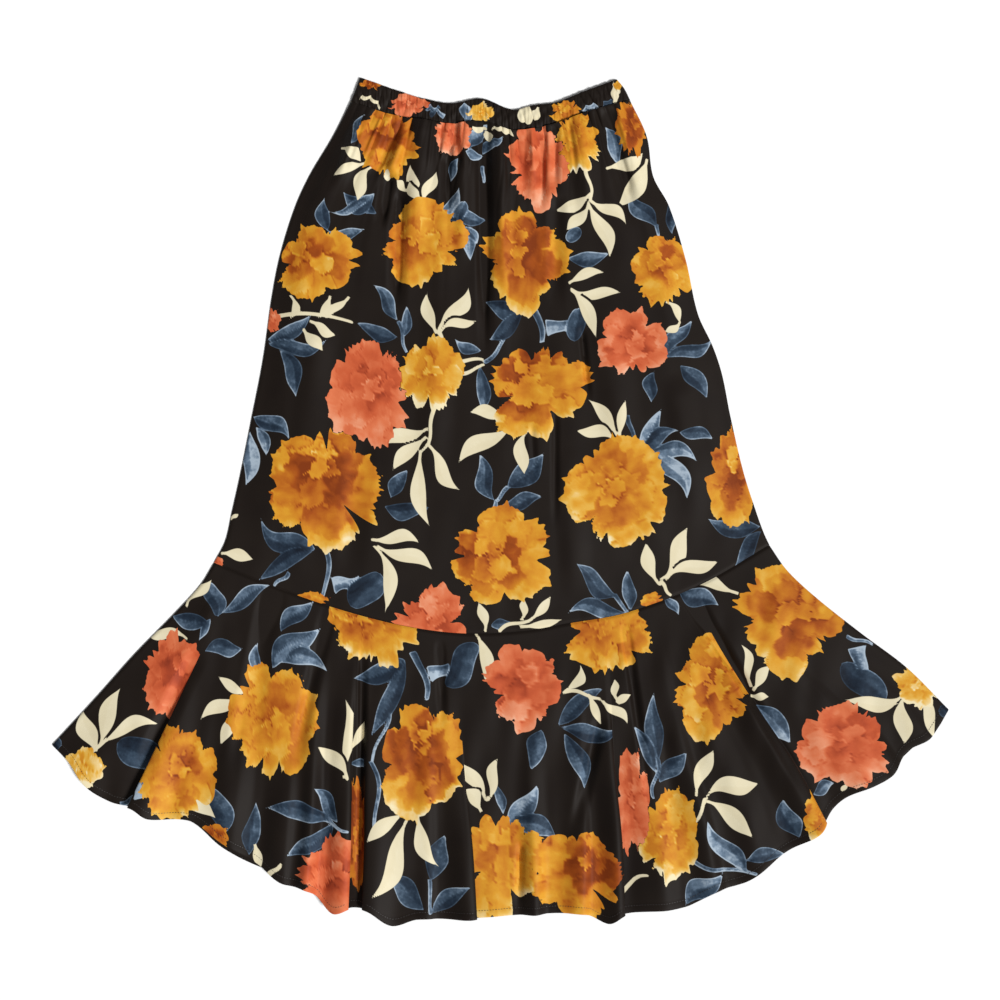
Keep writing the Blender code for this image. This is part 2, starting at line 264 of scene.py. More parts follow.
# Sharper lines that ride on the long creases, and soft pulls lower on the panel
FINE_FOLDS = [
    Fold(-148, 402, -166, 352, -0.9, 3, 5),
    Fold(-128, 408, -146, 366, 0.8, 3, 4),
    Fold(-110, 402, -133, 350, -1.1, 3, 5),
    Fold(-96, 404, -108, 352, -0.9, 3, 4),
    Fold(-120, 345, -127, 292, -1.6, 3, 6),
    Fold(-110, 318, -112, 214, -2.2, 3, 7),
    Fold(-72, 404, -78, 350, 0.8, 3, 4),
    Fold(-63, 402, -66, 362, -1.0, 3, 3),
    Fold(-48, 403, -57, 364, -1.0, 3, 4),
    Fold(-57, 360, -56, 306, -1.6, 3, 5),
    Fold(-30, 402, -32, 346, 0.8, 3, 4),
    Fold(-20, 402, -16, 166, -2.2, 3, 6),
    Fold(6, 392, 9, 330, -0.9, 3, 4),
    Fold(34, 394, 36, 350, 0.9, 3, 4),
    Fold(45, 396, 45, 318, -1.1, 3, 5),
    Fold(59, 396, 59, 338, -0.9, 3, 4),
    Fold(74, 404, 82, 346, -0.8, 3, 5),
    Fold(104, 412, 118, 350, -0.9, 3, 5),
    Fold(126, 418, 142, 362, 0.8, 4, 5),
    Fold(118, 392, 144, 318, -2.2, 6, 9),
    Fold(-49, 400, -42, 352, -1.6, 5, 6),
    Fold(88, 178, 95, 106, -1.6, 4, 6),
    Fold(59, 88, 59, -26, -1.2, 5, 6),
    Fold(34, 76, 37, 20, -0.8, 4, 6),
    Fold(-196, 180, -214, 20, 1.1, 22, 28),
    Fold(-66, 200, -74, 30, 0.9, 22, 26),
    Fold(20, 180, 28, 10, -0.8, 24, 24),
    Fold(112, 200, 136, 30, 1.0, 24, 28),
    Fold(190, 120, 214, -20, 0.9, 20, 24),
    Fold(-150, 60, -164, -90, -0.8, 20, 22),
    Fold(70, 40, 82, -110, 0.9, 18, 24),
]
# Deep narrow valleys between the waves
FLOUNCE_FOLDS = [
    Fold(-248, -108, -289, -313, -5.0, 16, 22),
    Fold(-188, -128, -224, -291, -5.0, 9, 13),
    Fold(-149, -180, -151, -437, -5.0, 4, 9),
    Fold(-65, -160, -62, -244, -3.6, 6, 8),
    Fold(106, -240, 78, -360, -5.0, 9, 12),
    Fold(22, -372, 19, -437, -4.2, 5, 7),
    Fold(135, -148, 160, -324, -5.2, 6, 9),
    Fold(197, -100, 261, -200, -5.2, 8, 11),
    Fold(211, -112, 335, -330, -5.2, 8, 12),
    Fold(-330, -170, -392, -300, -3.4, 12, 18),
    Fold(176, -250, 186, -360, -2.0, 10, 14),
]
WAVES = [
    Wave(-296, -450, 4, -290, -404, 2, 0.35),
    Wave(-284, -388, 11, -268, -335, 3, 0.30, 7.0, 0.0),
    Wave(-258, -290, 7, -240, -262, 2, 0.10),
    Wave(-214, -232, 8, -206, -222, 6, 0.20),
    Wave(-192, -208, 12, -174, -192, 3, 0.12),
    Wave(-158, -170, 10, -151, -157, 1, 0.08, 0.0, 4.5),
    Wave(-140, -138, 10, -92, -92, 5, 0.08, 4.5, 0.0),
    Wave(-76, -78, 6, -66, -62, 3, 0.12),
    Wave(-52, -32, 11, -42, -22, 2, 0.30, 0.0, 5.0),
    Wave(-16, -4, 3, 4, 20, 1, 0.45),
    Wave(26, 38, 9, 62, 58, 2, 0.25),
    Wave(88, 88, 9, 96, 104, 4, 0.15),
    Wave(112, 127, 12, 122, 137, 1, 0.06, 0.0, 5.0, 0.36),
    Wave(140, 178, 7, 152, 206, 4, 0.06),
    Wave(164, 232, 9, 174, 252, 3, 0.05),
    Wave(182, 282, 8, 190, 312, 5, 0.15),
    Wave(202, 342, 13, 214, 356, 1, 0.05, 0.0, 5.5, 0.1),
    Wave(232, 395, 8, 246, 415, 6, 0.30),
    Wave(254, 424, 8, 262, 436, 2, 0.55),
    Wave(276, 460, 5, 283, 473, 2, 0.45),
]
# The floral print, in the places that it has on the front of each panel. Places and sizes were read
# from the photograph, in its pixels: x to the right and y down from its top left corner.
MM_PER_PIXEL = 1.077
PHOTO_MIDDLE_X, PHOTO_MIDDLE_Y = 500, 499.5
MUSTARD, CORAL = Ink.MUSTARD, Ink.CORAL
# x, y, half width, half height, ink, heart's x and y, heart, foot, light: a lift or drop of tone, partly
# the print's own and partly painted shade where a bloom lies in shadow
BLOOM_ROWS = {
    Panel.BAND: [
        (481, 113, 12, 9, MUSTARD, 0, 0, 0.1, 0.2, 0.22),
        (565, 112, 15, 11, MUSTARD, -0.2, 0.2, 0.4, 0.2, 0),
        (371, 84, 9, 6, MUSTARD, 0, 0, 0.7, 0, -0.2),
        (617, 85, 4, 6, MUSTARD, 0, 0, 0.1, 0.2, 0.1),
        (408, 106, 18, 12, CORAL, 0, 0.2, 0.4, 0.1, 0),
    ],
    Panel.BODY: [
        (388, 143, 30, 34, MUSTARD, 0.0, 0.5, 0.8, 0.2, -0.05),
        (575, 143, 22, 31, MUSTARD, -0.1, 0.3, 0.4, 0.7, 0.05),
        (632, 128, 14, 27, MUSTARD, 0.2, 0.2, 0.8, 0, -0.12),
        (317, 260, 38, 38, MUSTARD, -0.4, 0.1, 0.5, 0.2, 0),
        (422, 244, 41, 43, MUSTARD, -0.2, 0.1, 0.4, 0.3, 0.02),
        (527, 262, 43, 49, MUSTARD, -0.2, 0.4, 0.9, 0.5, 0.03),
        (662, 268, 32, 32, MUSTARD, 0.1, 0.1, 0.7, 0.2, 0),
        (431, 375, 31, 36, MUSTARD, 0, 0.2, 0.3, 0.9, 0.13),
        (537, 387, 49, 46, MUSTARD, -0.2, 0.3, 0.9, 0.5, 0),
        (330, 490, 60, 62, MUSTARD, -0.1, 0.4, 0.9, 0.4, 0.02),
        (617, 492, 52, 55, MUSTARD, -0.1, 0, 0.4, 0.4, 0.06),
        (730, 476, 26, 46, MUSTARD, 0.3, 0.2, 0.8, 0.3, -0.02),
        (499, 555, 50, 46, MUSTARD, -0.2, 0.1, 0.8, 0.3, -0.01),
        (312, 598, 17, 6, MUSTARD, 0, 0, 0.2, 0, -0.1),
        (653, 601, 12, 8, MUSTARD, 0, 0, 0.3, 0, -0.05),
        (453, 136, 18, 20, CORAL, 0, 0.2, 0.3, 0.3, 0.05),
        (538, 169, 32, 40, CORAL, -0.1, 0.2, 0.4, 0.3, 0.02),
        (370, 390, 42, 52, CORAL, 0.1, 0.0, 0.5, 0.2, 0.02),
        (632, 344, 34, 33, CORAL, 0.1, 0.1, 0.4, 0.3, 0.02),
        (430, 630, 40, 40, CORAL, 0.2, 0.4, 0.4, 0.2, 0.03),
        (272, 320, 9, 13, CORAL, 0, 0, 0.3, 0.1, 0), (216, 563, 8, 7, CORAL, 0, 0, 0.2, 0.1, 0),
    ],
    Panel.FLOUNCE: [
        (375, 620, 45, 44, MUSTARD, -0.4, 0.1, 0.4, 0.5, 0.05),
        (607, 630, 45, 42, MUSTARD, -0.2, 0.1, 0.6, 0.3, 0.04),
        (278, 720, 43, 61, MUSTARD, 0, -0.1, 0.4, 0.3, 0.03),
        (421, 756, 42, 60, MUSTARD, 0, 0.3, 0.8, 0.5, 0.02),
        (711, 687, 40, 54, MUSTARD, 0.1, 0.1, 0.4, 0.3, 0.02),
        (792, 618, 55, 54, MUSTARD, 0.3, 0.3, 0.7, 0.4, 0.05),
        (177, 770, 39, 45, MUSTARD, 0.1, 0.1, 0.3, 0.4, 0),
        (83, 768, 20, 20, MUSTARD, 0, 0, 0.1, 0.6, 0.25),
        (500, 859, 38, 56, MUSTARD, 0, 0.3, 0.3, 0.4, 0.06),
        (580, 875, 48, 46, MUSTARD, 0.3, 0.4, 0.9, 0.1, -0.03),
        (668, 835, 31, 44, MUSTARD, 0, 0.1, 0.3, 0.6, 0.08),
        # Narrow strip in the shadow of a fold: its light of -0.2 darkens it as painted shade
        (357, 830, 11, 52, MUSTARD, 0, 0, 0.9, 0, -0.2),
        (815, 811, 15, 26, MUSTARD, 0, 0, 0.3, 0.4, 0.02),
        (918, 686, 22, 19, MUSTARD, 0, 0, 0.1, 0.6, 0.25),
        (217, 834, 17, 11, MUSTARD, 0, 0, 0.5, 0.2, -0.1),
        # Its light of -0.08 darkens it as painted shade, for the dimmer left of the flounce
        (175, 679, 32, 42, CORAL, 0.2, 0.3, 0.5, 0.3, -0.08),
        (523, 688, 40, 41, CORAL, 0.2, 0.3, 0.5, 0.4, 0.04),
        (844, 741, 47, 41, CORAL, -0.1, 0.1, 0.4, 0.4, 0.02),
        (632, 804, 17, 54, CORAL, 0, 0.2, 0.3, 0.2, 0.02),
        (333, 877, 37, 40, CORAL, 0.1, 0.2, 0.5, 0.2, -0.05),
    ],
}
# Foot's x and y, tip's x and y, width, bend
CREAM_ROWS = {
    Panel.BAND: [
        (360, 99, 380, 109, 4, 0.3), (351, 104, 369, 112, 5, -0.3),
        (347, 114, 368, 117, 5, 0.3), (335, 128, 360, 112, 5, 0.2),
        (528, 125, 524, 106, 15, 0.1), (533, 122, 540, 108, 8, 0), (615, 104, 613, 81, 9, -0.1),
        (588, 124, 616, 119, 5, 0.3), (590, 141, 615, 121, 4, -0.2),
    ],
    Panel.BODY: [
        (492, 131, 514, 138, 7, 0.3), (487, 130, 471, 130, 6, 0), (342, 149, 362, 163, 12, 0.2),
        (487, 133, 490, 142, 7, 0), (366, 165, 334, 177, 9, -0.1),
        (373, 168, 358, 202, 14, -0.2), (389, 170, 388, 181, 7, 0),
        (424, 206, 411, 166, 11, 0.1), (420, 209, 410, 183, 10, 0),
        (425, 206, 437, 174, 11, 0.1), (408, 192, 397, 181, 7, 0.1),
        (606, 170, 643, 152, 14, -0.2), (647, 160, 616, 209, 18, 0.15),
        (587, 162, 589, 202, 3, 0), (589, 196, 554, 212, 12, 0.15),
        (588, 204, 566, 232, 12, 0.1), (590, 202, 625, 226, 12, 0.15),
        (588, 206, 609, 260, 15, 0.15), (569, 284, 605, 274, 10, 0.2),
        (571, 290, 621, 293, 11, -0.1), (571, 291, 596, 340, 13, 0.15),
        (665, 303, 679, 324, 8, 0.3), (679, 322, 663, 333, 7, 0.2),
        (278, 317, 353, 323, 3, 0.1), (291, 296, 290, 320, 8, 0.4),
        (331, 297, 319, 319, 8, 0.1), (350, 298, 327, 320, 8, -0.1),
        (311, 322, 338, 335, 10, -0.1), (304, 330, 324, 352, 12, 0),
        (437, 334, 428, 292, 12, 0.15), (439, 331, 468, 288, 15, -0.1),
        (441, 333, 478, 321, 10, 0.15), (438, 332, 445, 350, 3, 0.1),
        (434, 410, 421, 452, 4, 0.12), (428, 429, 382, 446, 15, -0.06),
        (427, 437, 393, 471, 14, -0.1), (428, 444, 461, 490, 14, -0.1),
        (421, 450, 430, 526, 15, -0.15), (459, 363, 483, 360, 4, 0.1),
        (458, 374, 484, 365, 4, -0.1), (508, 417, 469, 413, 13, -0.1),
        (513, 426, 458, 464, 17, -0.1), (528, 431, 524, 474, 14, -0.2),
        (617, 436, 588, 400, 12, -0.1), (614, 442, 575, 431, 13, -0.2),
        (619, 438, 625, 399, 9, 0.05), (372, 539, 420, 543, 13, 0.15),
        (377, 546, 433, 571, 15, 0.1), (375, 546, 385, 613, 14, 0.25),
        (485, 631, 479, 602, 10, -0.1), (499, 631, 532, 619, 3, 0.1),
        (521, 619, 524, 598, 8, -0.1), (531, 619, 551, 595, 9, -0.1),
        (520, 627, 562, 619, 8, -0.05), (660, 585, 646, 541, 14, 0.15),
        (661, 579, 688, 526, 17, -0.1), (666, 579, 718, 561, 14, 0.1),
        (660, 581, 671, 595, 4, 0), (221, 553, 254, 560, 12, 0.1), (231, 519, 239, 513, 4, 0),
    ],
    Panel.FLOUNCE: [
        (476, 633, 484, 683, 13, 0.2), (345, 776, 346, 698, 12, -0.1),
        (349, 750, 366, 719, 9, -0.1), (349, 778, 318, 745, 14, -0.15),
        (404, 812, 367, 840, 14, -0.1), (408, 816, 368, 897, 18, 0.15),
        (418, 813, 440, 865, 15, -0.2), (486, 800, 457, 760, 14, -0.1),
        (487, 800, 498, 757, 11, 0), (481, 811, 464, 788, 14, -0.2),
        (563, 692, 580, 664, 10, -0.35), (617, 699, 614, 679, 8, 0.1),
        (614, 705, 631, 694, 8, 0.1), (602, 700, 627, 723, 10, 0.1), (588, 694, 601, 725, 8, 0),
        (564, 692, 600, 698, 3, 0.1), (188, 639, 144, 633, 11, -0.1),
        (98, 750, 83, 709, 19, 0.1), (103, 742, 121, 688, 17, 0.1),
        (103, 743, 161, 725, 13, 0.25), (88, 756, 108, 738, 5, 0),
        (249, 693, 219, 676, 10, 0.1), (245, 696, 201, 720, 14, -0.1),
        (245, 708, 221, 745, 12, -0.1), (172, 794, 218, 817, 16, 0.15),
        (256, 843, 261, 868, 9, 0), (269, 875, 283, 862, 6, 0), (751, 686, 740, 643, 9, -0.1),
        (753, 690, 770, 665, 11, 0.1), (751, 695, 768, 696, 8, 0),
        (738, 593, 690, 588, 13, -0.25), (187, 606, 212, 579, 12, 0.1),
        (903, 694, 844, 699, 15, 0.2), (905, 693, 903, 745, 17, -0.1),
        (911, 692, 933, 738, 12, 0.2), (695, 794, 713, 748, 15, 0.1),
        (703, 799, 758, 782, 19, 0.2), (705, 799, 752, 836, 17, 0.1),
        (703, 798, 692, 822, 4, 0.1), (623, 890, 648, 874, 5, 0.2), (845, 781, 840, 791, 5, 0),
    ],
}
# Foot's x and y, tip's x and y, width, bend, light
BLUE_ROWS = {
    Panel.BAND: [
        (466, 122, 467, 104, 12, 0, 0.4), (428, 108, 443, 118, 6, 0.1, 0.3),
        (430, 117, 440, 108, 4, 0, -0.3), (582, 110, 604, 118, 9, 0.3, 0.6),
        (600, 114, 618, 103, 10, 0.2, -0.4), (606, 119, 617, 105, 5, 0, 0.3),
    ],
    Panel.BODY: [
        (352, 146, 366, 116, 8, 0.1, 0), (377, 215, 344, 193, 15, 0.1, -0.1),
        (343, 212, 376, 194, 16, -0.2, 0.1), (328, 231, 325, 200, 14, 0.2, 0),
        (374, 200, 330, 213, 8, 0.1, 0.2), (328, 232, 365, 230, 11, -0.2, 0.1),
        (468, 152, 488, 125, 13, 0.1, 0.25), (482, 156, 505, 137, 9, 0.1, 0.1),
        (466, 152, 484, 157, 9, -0.2, 0.4), (458, 160, 451, 183, 8, -0.1, 0.25),
        (482, 167, 484, 183, 3, 0, 0.2), (439, 218, 459, 189, 12, -0.2, 0.5),
        (446, 223, 487, 220, 14, 0.1, 0), (458, 224, 465, 203, 13, 0.1, 0.2),
        (461, 226, 470, 262, 13, 0.15, 0.4), (466, 228, 477, 246, 9, 0.2, 0.3),
        (605, 127, 619, 166, 14, 0.1, 0.3), (656, 228, 630, 192, 17, 0.1, 0),
        (656, 226, 658, 237, 3, 0, 0.2), (668, 201, 672, 235, 12, 0.1, -0.3),
        (580, 229, 567, 242, 13, 0, 0.1), (567, 259, 610, 253, 14, -0.15, 0.1),
        (267, 341, 312, 315, 14, -0.15, 0.1), (268, 344, 329, 339, 14, -0.2, 0),
        (281, 352, 297, 397, 17, 0.2, -0.05), (398, 321, 374, 286, 13, -0.1, 0.1),
        (398, 338, 357, 323, 14, 0.1, -0.1), (403, 338, 407, 306, 10, -0.1, 0.1),
        (399, 322, 407, 353, 3, 0, 0.2), (481, 352, 455, 340, 11, 0.2, 0.2),
        (484, 363, 507, 335, 5, -0.1, 0.3), (480, 366, 481, 415, 13, 0.1, 0),
        (523, 310, 485, 302, 17, 0.2, -0.3), (523, 311, 489, 341, 16, 0.1, -0.3),
        (532, 307, 542, 343, 7, 0.15, 0.2), (567, 326, 546, 329, 17, 0, 0.5),
        (573, 342, 578, 309, 19, 0, -0.15), (664, 357, 692, 319, 14, 0.1, 0.1),
        (664, 358, 713, 339, 13, -0.1, 0), (679, 366, 706, 399, 17, 0.15, -0.05),
        (654, 371, 650, 403, 13, -0.15, -0.1), (254, 417, 290, 440, 17, 0.2, 0.1),
        (250, 432, 246, 486, 18, 0.1, 0.6), (256, 427, 267, 456, 11, 0.2, 0.4),
        (626, 416, 634, 439, 6, 0, -0.1), (636, 450, 661, 409, 16, -0.1, 0.5),
        (678, 433, 713, 440, 13, 0.15, 0.1), (636, 452, 678, 431, 14, 0.1, -0.1),
        (649, 452, 696, 461, 16, 0.25, 0.35), (655, 452, 686, 500, 19, 0.2, 0.6),
        (391, 498, 408, 470, 15, 0.1, -0.05), (385, 506, 430, 508, 17, -0.15, -0.2),
        (494, 500, 480, 454, 17, 0.1, 0), (495, 513, 495, 499, 5, 0, 0.3),
        (507, 487, 544, 453, 22, -0.1, 0), (500, 506, 543, 497, 15, 0, -0.1),
        (507, 487, 495, 502, 5, 0, 0.3), (315, 549, 261, 518, 20, 0.25, -0.1),
        (315, 550, 259, 580, 16, -0.1, -0.3), (289, 573, 274, 586, 5, 0, 0.3),
        (760, 526, 707, 518, 18, 0.2, -0.1), (762, 530, 733, 569, 15, 0, -0.3),
        (325, 548, 323, 596, 6, 0.15, 0.2), (360, 580, 334, 586, 17, 0, 0.5),
        (351, 606, 381, 574, 29, 0, -0.2), (616, 596, 576, 564, 18, 0.1, 0),
        (614, 594, 627, 613, 5, 0, 0.2), (626, 613, 567, 614, 16, -0.15, 0.1),
        (630, 611, 627, 569, 13, 0, 0.1), (491, 626, 512, 622, 10, 0, 0),
    ],
    Panel.FLOUNCE: [
        (219, 616, 208, 582, 18, -0.1, 0), (222, 613, 271, 585, 15, 0.05, 0.15),
        (210, 622, 172, 616, 17, 0.1, -0.1), (211, 618, 200, 640, 7, 0, 0.2),
        (678, 590, 718, 605, 19, 0, 0.05), (664, 596, 678, 615, 9, 0.1, 0.2),
        (281, 631, 314, 601, 17, 0.1, 0.1), (273, 668, 322, 628, 22, 0.15, 0.3),
        (280, 662, 328, 671, 17, 0.35, 0.35), (257, 680, 259, 642, 10, 0.1, 0.2),
        (405, 659, 352, 677, 20, 0.15, -0.1), (405, 660, 371, 736, 17, 0.05, -0.1),
        (388, 700, 373, 760, 4, 0.1, 0.3), (372, 760, 376, 836, 5, 0.1, 0.25),
        (350, 763, 373, 761, 7, 0, 0.2), (413, 652, 427, 699, 7, 0.15, 0.2),
        (450, 668, 429, 674, 17, 0, 0.5), (447, 686, 478, 643, 25, 0, -0.15),
        (431, 878, 446, 833, 21, 0.05, -0.1), (424, 907, 384, 874, 20, -0.1, 0),
        (430, 877, 430, 912, 4, 0, 0.3), (431, 912, 471, 884, 16, 0.1, 0),
        (332, 819, 266, 807, 18, -0.1, 0), (338, 820, 314, 786, 14, -0.1, 0.1),
        (335, 822, 286, 855, 17, 0.1, 0), (322, 818, 350, 829, 4, 0, 0.3),
        (250, 853, 257, 801, 16, 0, -0.05), (558, 725, 604, 687, 17, 0.1, -0.1),
        (560, 727, 621, 728, 17, -0.15, -0.1), (564, 733, 584, 789, 18, 0.15, 0),
        (542, 729, 530, 770, 19, 0, 0.05), (494, 782, 503, 814, 9, 0.1, 0.1),
        (506, 825, 538, 782, 19, -0.1, 0.45), (505, 823, 557, 838, 20, 0.25, 0.05),
        (657, 760, 653, 692, 17, 0.05, 0), (654, 771, 633, 725, 13, -0.1, 0.1),
        (658, 782, 686, 750, 17, 0, 0), (657, 758, 652, 797, 5, 0, 0.2),
        (206, 651, 244, 648, 17, 0.1, 0), (119, 742, 162, 762, 32, 0, -0.25),
        (140, 768, 146, 795, 20, 0, 0.6), (122, 803, 140, 795, 6, 0, 0.3),
        (228, 829, 208, 786, 24, -0.1, 0), (752, 704, 790, 743, 21, 0.1, 0.4),
        (841, 664, 884, 699, 27, 0, -0.25), (862, 672, 857, 647, 19, 0, 0.5),
        (846, 636, 872, 644, 4, 0, 0.3), (812, 794, 833, 782, 12, 0.1, 0.2),
        (798, 836, 781, 797, 20, 0.15, 0), (745, 870, 706, 817, 18, 0.1, 0.45),
        (745, 859, 784, 852, 14, 0.15, 0), (688, 855, 755, 872, 5, -0.1, 0.3),
        (685, 903, 722, 872, 20, 0.1, 0.25), (53, 742, 62, 746, 12, 0, -0.5),
        (940, 706, 948, 716, 12, 0, -0.5),
    ],
}
BLOOMS = {panel: [Bloom(*row) for row in rows] for panel, rows in BLOOM_ROWS.items()}
CREAM_LEAVES = {panel: [Leaf(*row) for row in rows] for panel, rows in CREAM_ROWS.items()}
BLUE_LEAVES = {panel: [Leaf(*row) for row in rows] for panel, rows in BLUE_ROWS.items()}


def in_metres(spots: np.ndarray) -> np.ndarray:
    """Spots of the tables, in mm, as metres from the origin."""
    return (spots - MIDDLE) * MM


def from_pixel(x: float, y: float) -> np.ndarray:
    """Pixel of the photograph as a spot in whole mm, like the spots of the lines."""
    across, up = x - PHOTO_MIDDLE_X, PHOTO_MIDDLE_Y - y
    return np.array([round(across * MM_PER_PIXEL), round(up * MM_PER_PIXEL)])


def smooth(value: Any) -> np.ndarray:
    """Ramp from 0 to 1 with level ends."""
    value = np.clip(value, 0, 1)
    return value * value * (3 - 2 * value)


class Curve:
    """Smooth line through the spots of a table, read by its share of length."""

    STEPS = 24

    def __init__(self, spots: list) -> None:
        """Draws the line.

        Args:
            spots: the points that it runs through, in mm.
        """
        given = in_metres(np.array(spots, float))
        ends = [2 * given[0] - given[1]], [2 * given[-1] - given[-2]]
        padded = np.vstack([ends[0], given, ends[1]])
        t = np.linspace(0, 1, self.STEPS, endpoint=False)[:, None]
        pieces = []
        for a, b, c, d in zip(padded, padded[1:], padded[2:], padded[3:]):
            into = (c - a) * self.slope(a, b, c)
            out = (d - b) * self.slope(d, c, b)
            pieces.append(
                (2 * t**3 - 3 * t**2 + 1) * b
                + (t**3 - 2 * t**2 + t) * into
                + (3 * t**2 - 2 * t**3) * c
                + (t**3 - t**2) * out
            )
        self.points = np.vstack([*pieces, given[-1:]])
        lengths = np.linalg.norm(np.diff(self.points, axis=0), axis=1)
        self.walked = np.concatenate([[0], np.cumsum(lengths)])

    @staticmethod
    def slope(before: np.ndarray, here: np.ndarray, after: np.ndarray) -> float:
        """Share of the chord from before to after that the run from here to after takes."""
        run = np.linalg.norm(after - here)
        return run / (run + np.linalg.norm(here - before))

    @property
    def length(self) -> float:
        """Length of the line in metres."""
        return float(self.walked[-1])

    def at(self, share: Any) -> np.ndarray:
        """Points at these shares of the length."""
        want = np.asarray(share) * self.walked[-1]
        return np.stack([np.interp(want, self.walked, self.points[:, k]) for k in (0, 1)], -1)

    def share_at_x(self, x: np.ndarray) -> np.ndarray:
        """Shares of the length at which a line that runs to the right reaches x."""
        return np.interp(x, self.points[:, 0], self.walked / self.walked[-1])


class Patch:
    """Plane shape between an upper and a lower line and two side edges."""

    def __init__(self, upper: Curve, lower: Curve, levels: list, inset: float = 0.0) -> None:
        """Sets the four edges.

        Args:
            upper: the line on the waist's side.
            lower: the line on the hem's side.
            levels: both ends of lines across it, from the waist down.
            inset: how far the side edges are drawn in, in metres.
        """
        self.upper = upper
        self.lower = lower
        self.inset = inset
        self.left = Curve([(row.left_x, row.left_y) for row in levels])
        self.right = Curve([(row.right_x, row.right_y) for row in levels])

    def row(self, upper_share: np.ndarray, lower_share: np.ndarray, down: float) -> np.ndarray:
        """Points of one row.

        Args:
            upper_share: shares along the upper line.
            lower_share: shares along the lower line, for the same columns.
            down: how far down the row is, from 0 to 1.

        Returns:
            One point for each column, in metres.
        """
        middle = (1 - down) * self.upper.at(upper_share) + down * self.lower.at(lower_share)
        across = np.clip((1 - down) * upper_share + down * lower_share, 0, 1)[:, None]
        for side, weight in ((self.left, 1 - across), (self.right, across)):
            straight = (1 - down) * side.points[0] + down * side.points[-1]
            middle = middle + weight * (side.at(down) - straight)
        middle[:, 0] += self.inset * np.sign(0.5 - across[:, 0]) * (1 - edge_share(across[:, 0]))
        return middle


def edge_share(shares: np.ndarray) -> np.ndarray:
    """0 at the side folds and 1 well inside, for shares across the panel."""
    return smooth(np.minimum(shares, 1 - shares) / SIDE_FADE)


def sunk(distance: np.ndarray, depth: float, reach: float) -> np.ndarray:
    """How far the cloth sinks at this distance from a seam of this depth and reach."""
    return depth * (1 - smooth(distance / reach))


def close_ended(length: float, step: float) -> np.ndarray:
    """Even shares of a length, with closer ones at both ends, where an edge rolls over.

    Args:
        length: the length in metres.
        step: the spacing in the middle, in metres.

    Returns:
        Shares from 0 to 1, an odd number of them.
    """
    near = np.array([0.0, *CLOSE_EDGE]) * MM / length
    count = max(LEAST_CELLS, 2 * round(length / step / 2))
    first = near[-1] * NEXT_CELL
    middle = np.linspace(first, 1 - first, count + 1)
    return np.concatenate([near, middle, 1 - near[::-1]])


def fold_rise(points: np.ndarray, folds: list) -> np.ndarray:
    """Height that creases give: each is a soft ridge or valley that dies out at its end.

    Args:
        points: places in plan, in metres.
        folds: the creases, in mm.

    Returns:
        Heights in metres.
    """
    total = np.zeros(points.shape[:-1])
    for fold in folds:
        start = in_metres(np.array([fold.from_x, fold.from_y]))
        run = in_metres(np.array([fold.to_x, fold.to_y])) - start
        length = np.linalg.norm(run)
        along = (points - start) @ run / length**2
        beside = ((points - start) @ np.array([-run[1], run[0]])) / length
        width = np.where(beside > 0, fold.right, fold.left) * MM
        crown = 0.5 + 0.5 * np.cos(np.pi * np.clip(beside / width, -1, 1))
        fade = smooth((along + FOLD_LEAD) / FOLD_ONSET) * smooth((FOLD_END - along) / FOLD_FADE)
        total += fold.rise * MM * crown * fade
    return total


def uneven(points: np.ndarray, seed: int, wavelength: float, stretch: float = 1.0) -> np.ndarray:
    """Soft uneven relief between about -1 and 1, the same in each run.

    Args:
        points: places in plan, in metres.
        seed: which relief.
        wavelength: its usual wavelength across, in metres.
        stretch: how much longer it is down the panel than across.

    Returns:
        One value for each point.
    """
    pick = np.random.default_rng(seed)
    total = np.zeros(points.shape[:-1])
    waves = 14
    for _ in range(waves):
        turn = pick.uniform(0, 2 * math.pi)
        pitch = 2 * math.pi / (wavelength * pick.uniform(0.6, 1.7))
        across, down = math.cos(turn) * pitch, math.sin(turn) * pitch / stretch
        total += np.sin(across * points[..., 0] + down * points[..., 1] + pick.uniform(0, TURN))
    return total / math.sqrt(waves / 2)


def gather_phase(share: np.ndarray) -> np.ndarray:
    """Number of gathers passed at these shares across the waist, at an uneven pace."""
    slow = 0.22 * np.sin(2 * np.pi * (3 * share + 0.2))
    quick = 0.15 * np.sin(2 * np.pi * 7.3 * share)
    return np.clip(share * GATHERS + (slow + quick) * np.sin(np.pi * share), 0, GATHERS - 1e-6)


def gather_wave(share: np.ndarray, fall: np.ndarray, shortest: float, longest: float) -> np.ndarray:
    """Height share of the gathers: 0 in the creases, less on each gather as it runs down.

    Args:
        share: shares across the waist.
        fall: how far below the seam, in metres.
        shortest: over which a short gather dies out, in metres.
        longest: over which a long one does.

    Returns:
        One value from 0 to 1 for each point.
    """
    pick = np.random.default_rng(GATHER_SEED)
    tops = np.arange(GATHERS) + 0.5
    phase = gather_phase(share)
    height = np.interp(phase, tops, pick.uniform(0.6, 1.0, GATHERS))
    length = np.interp(phase, tops, pick.uniform(shortest, longest, GATHERS))
    depth = pick.uniform(0.25, 1.0, GATHERS + 1)[np.rint(phase).astype(int)]
    ridge = 1 - depth * (1 - np.abs(np.sin(np.pi * phase)) ** CREASE_SHARPNESS)
    return height * ridge * np.exp(-fall / length)


def gathered_print(plan: np.ndarray, share: np.ndarray, fall: np.ndarray) -> np.ndarray:
    """Printed cloth's own coordinates where it is gathered: each crease swallows some of it.

    Args:
        plan: places in plan, in metres.
        share: shares across the waist.
        fall: how far below the seam, in metres.

    Returns:
        Places on the cloth, one for each point.
    """
    fade = np.exp(-fall / PRINT_FALL)
    phase = gather_phase(share)
    pull = np.random.default_rng(PULL_SEED).uniform(-1, 1, GATHERS)[phase.astype(int)]
    bulge = SWALLOWED * np.abs(np.sin(np.pi * phase)) - SWALLOWED / 2
    cloth = plan.copy()
    cloth[..., 0] -= SWALLOWED * MM * ((phase % 1.0) - 0.5) * fade
    cloth[..., 1] += (bulge + PULLED * pull) * MM * fade
    return cloth


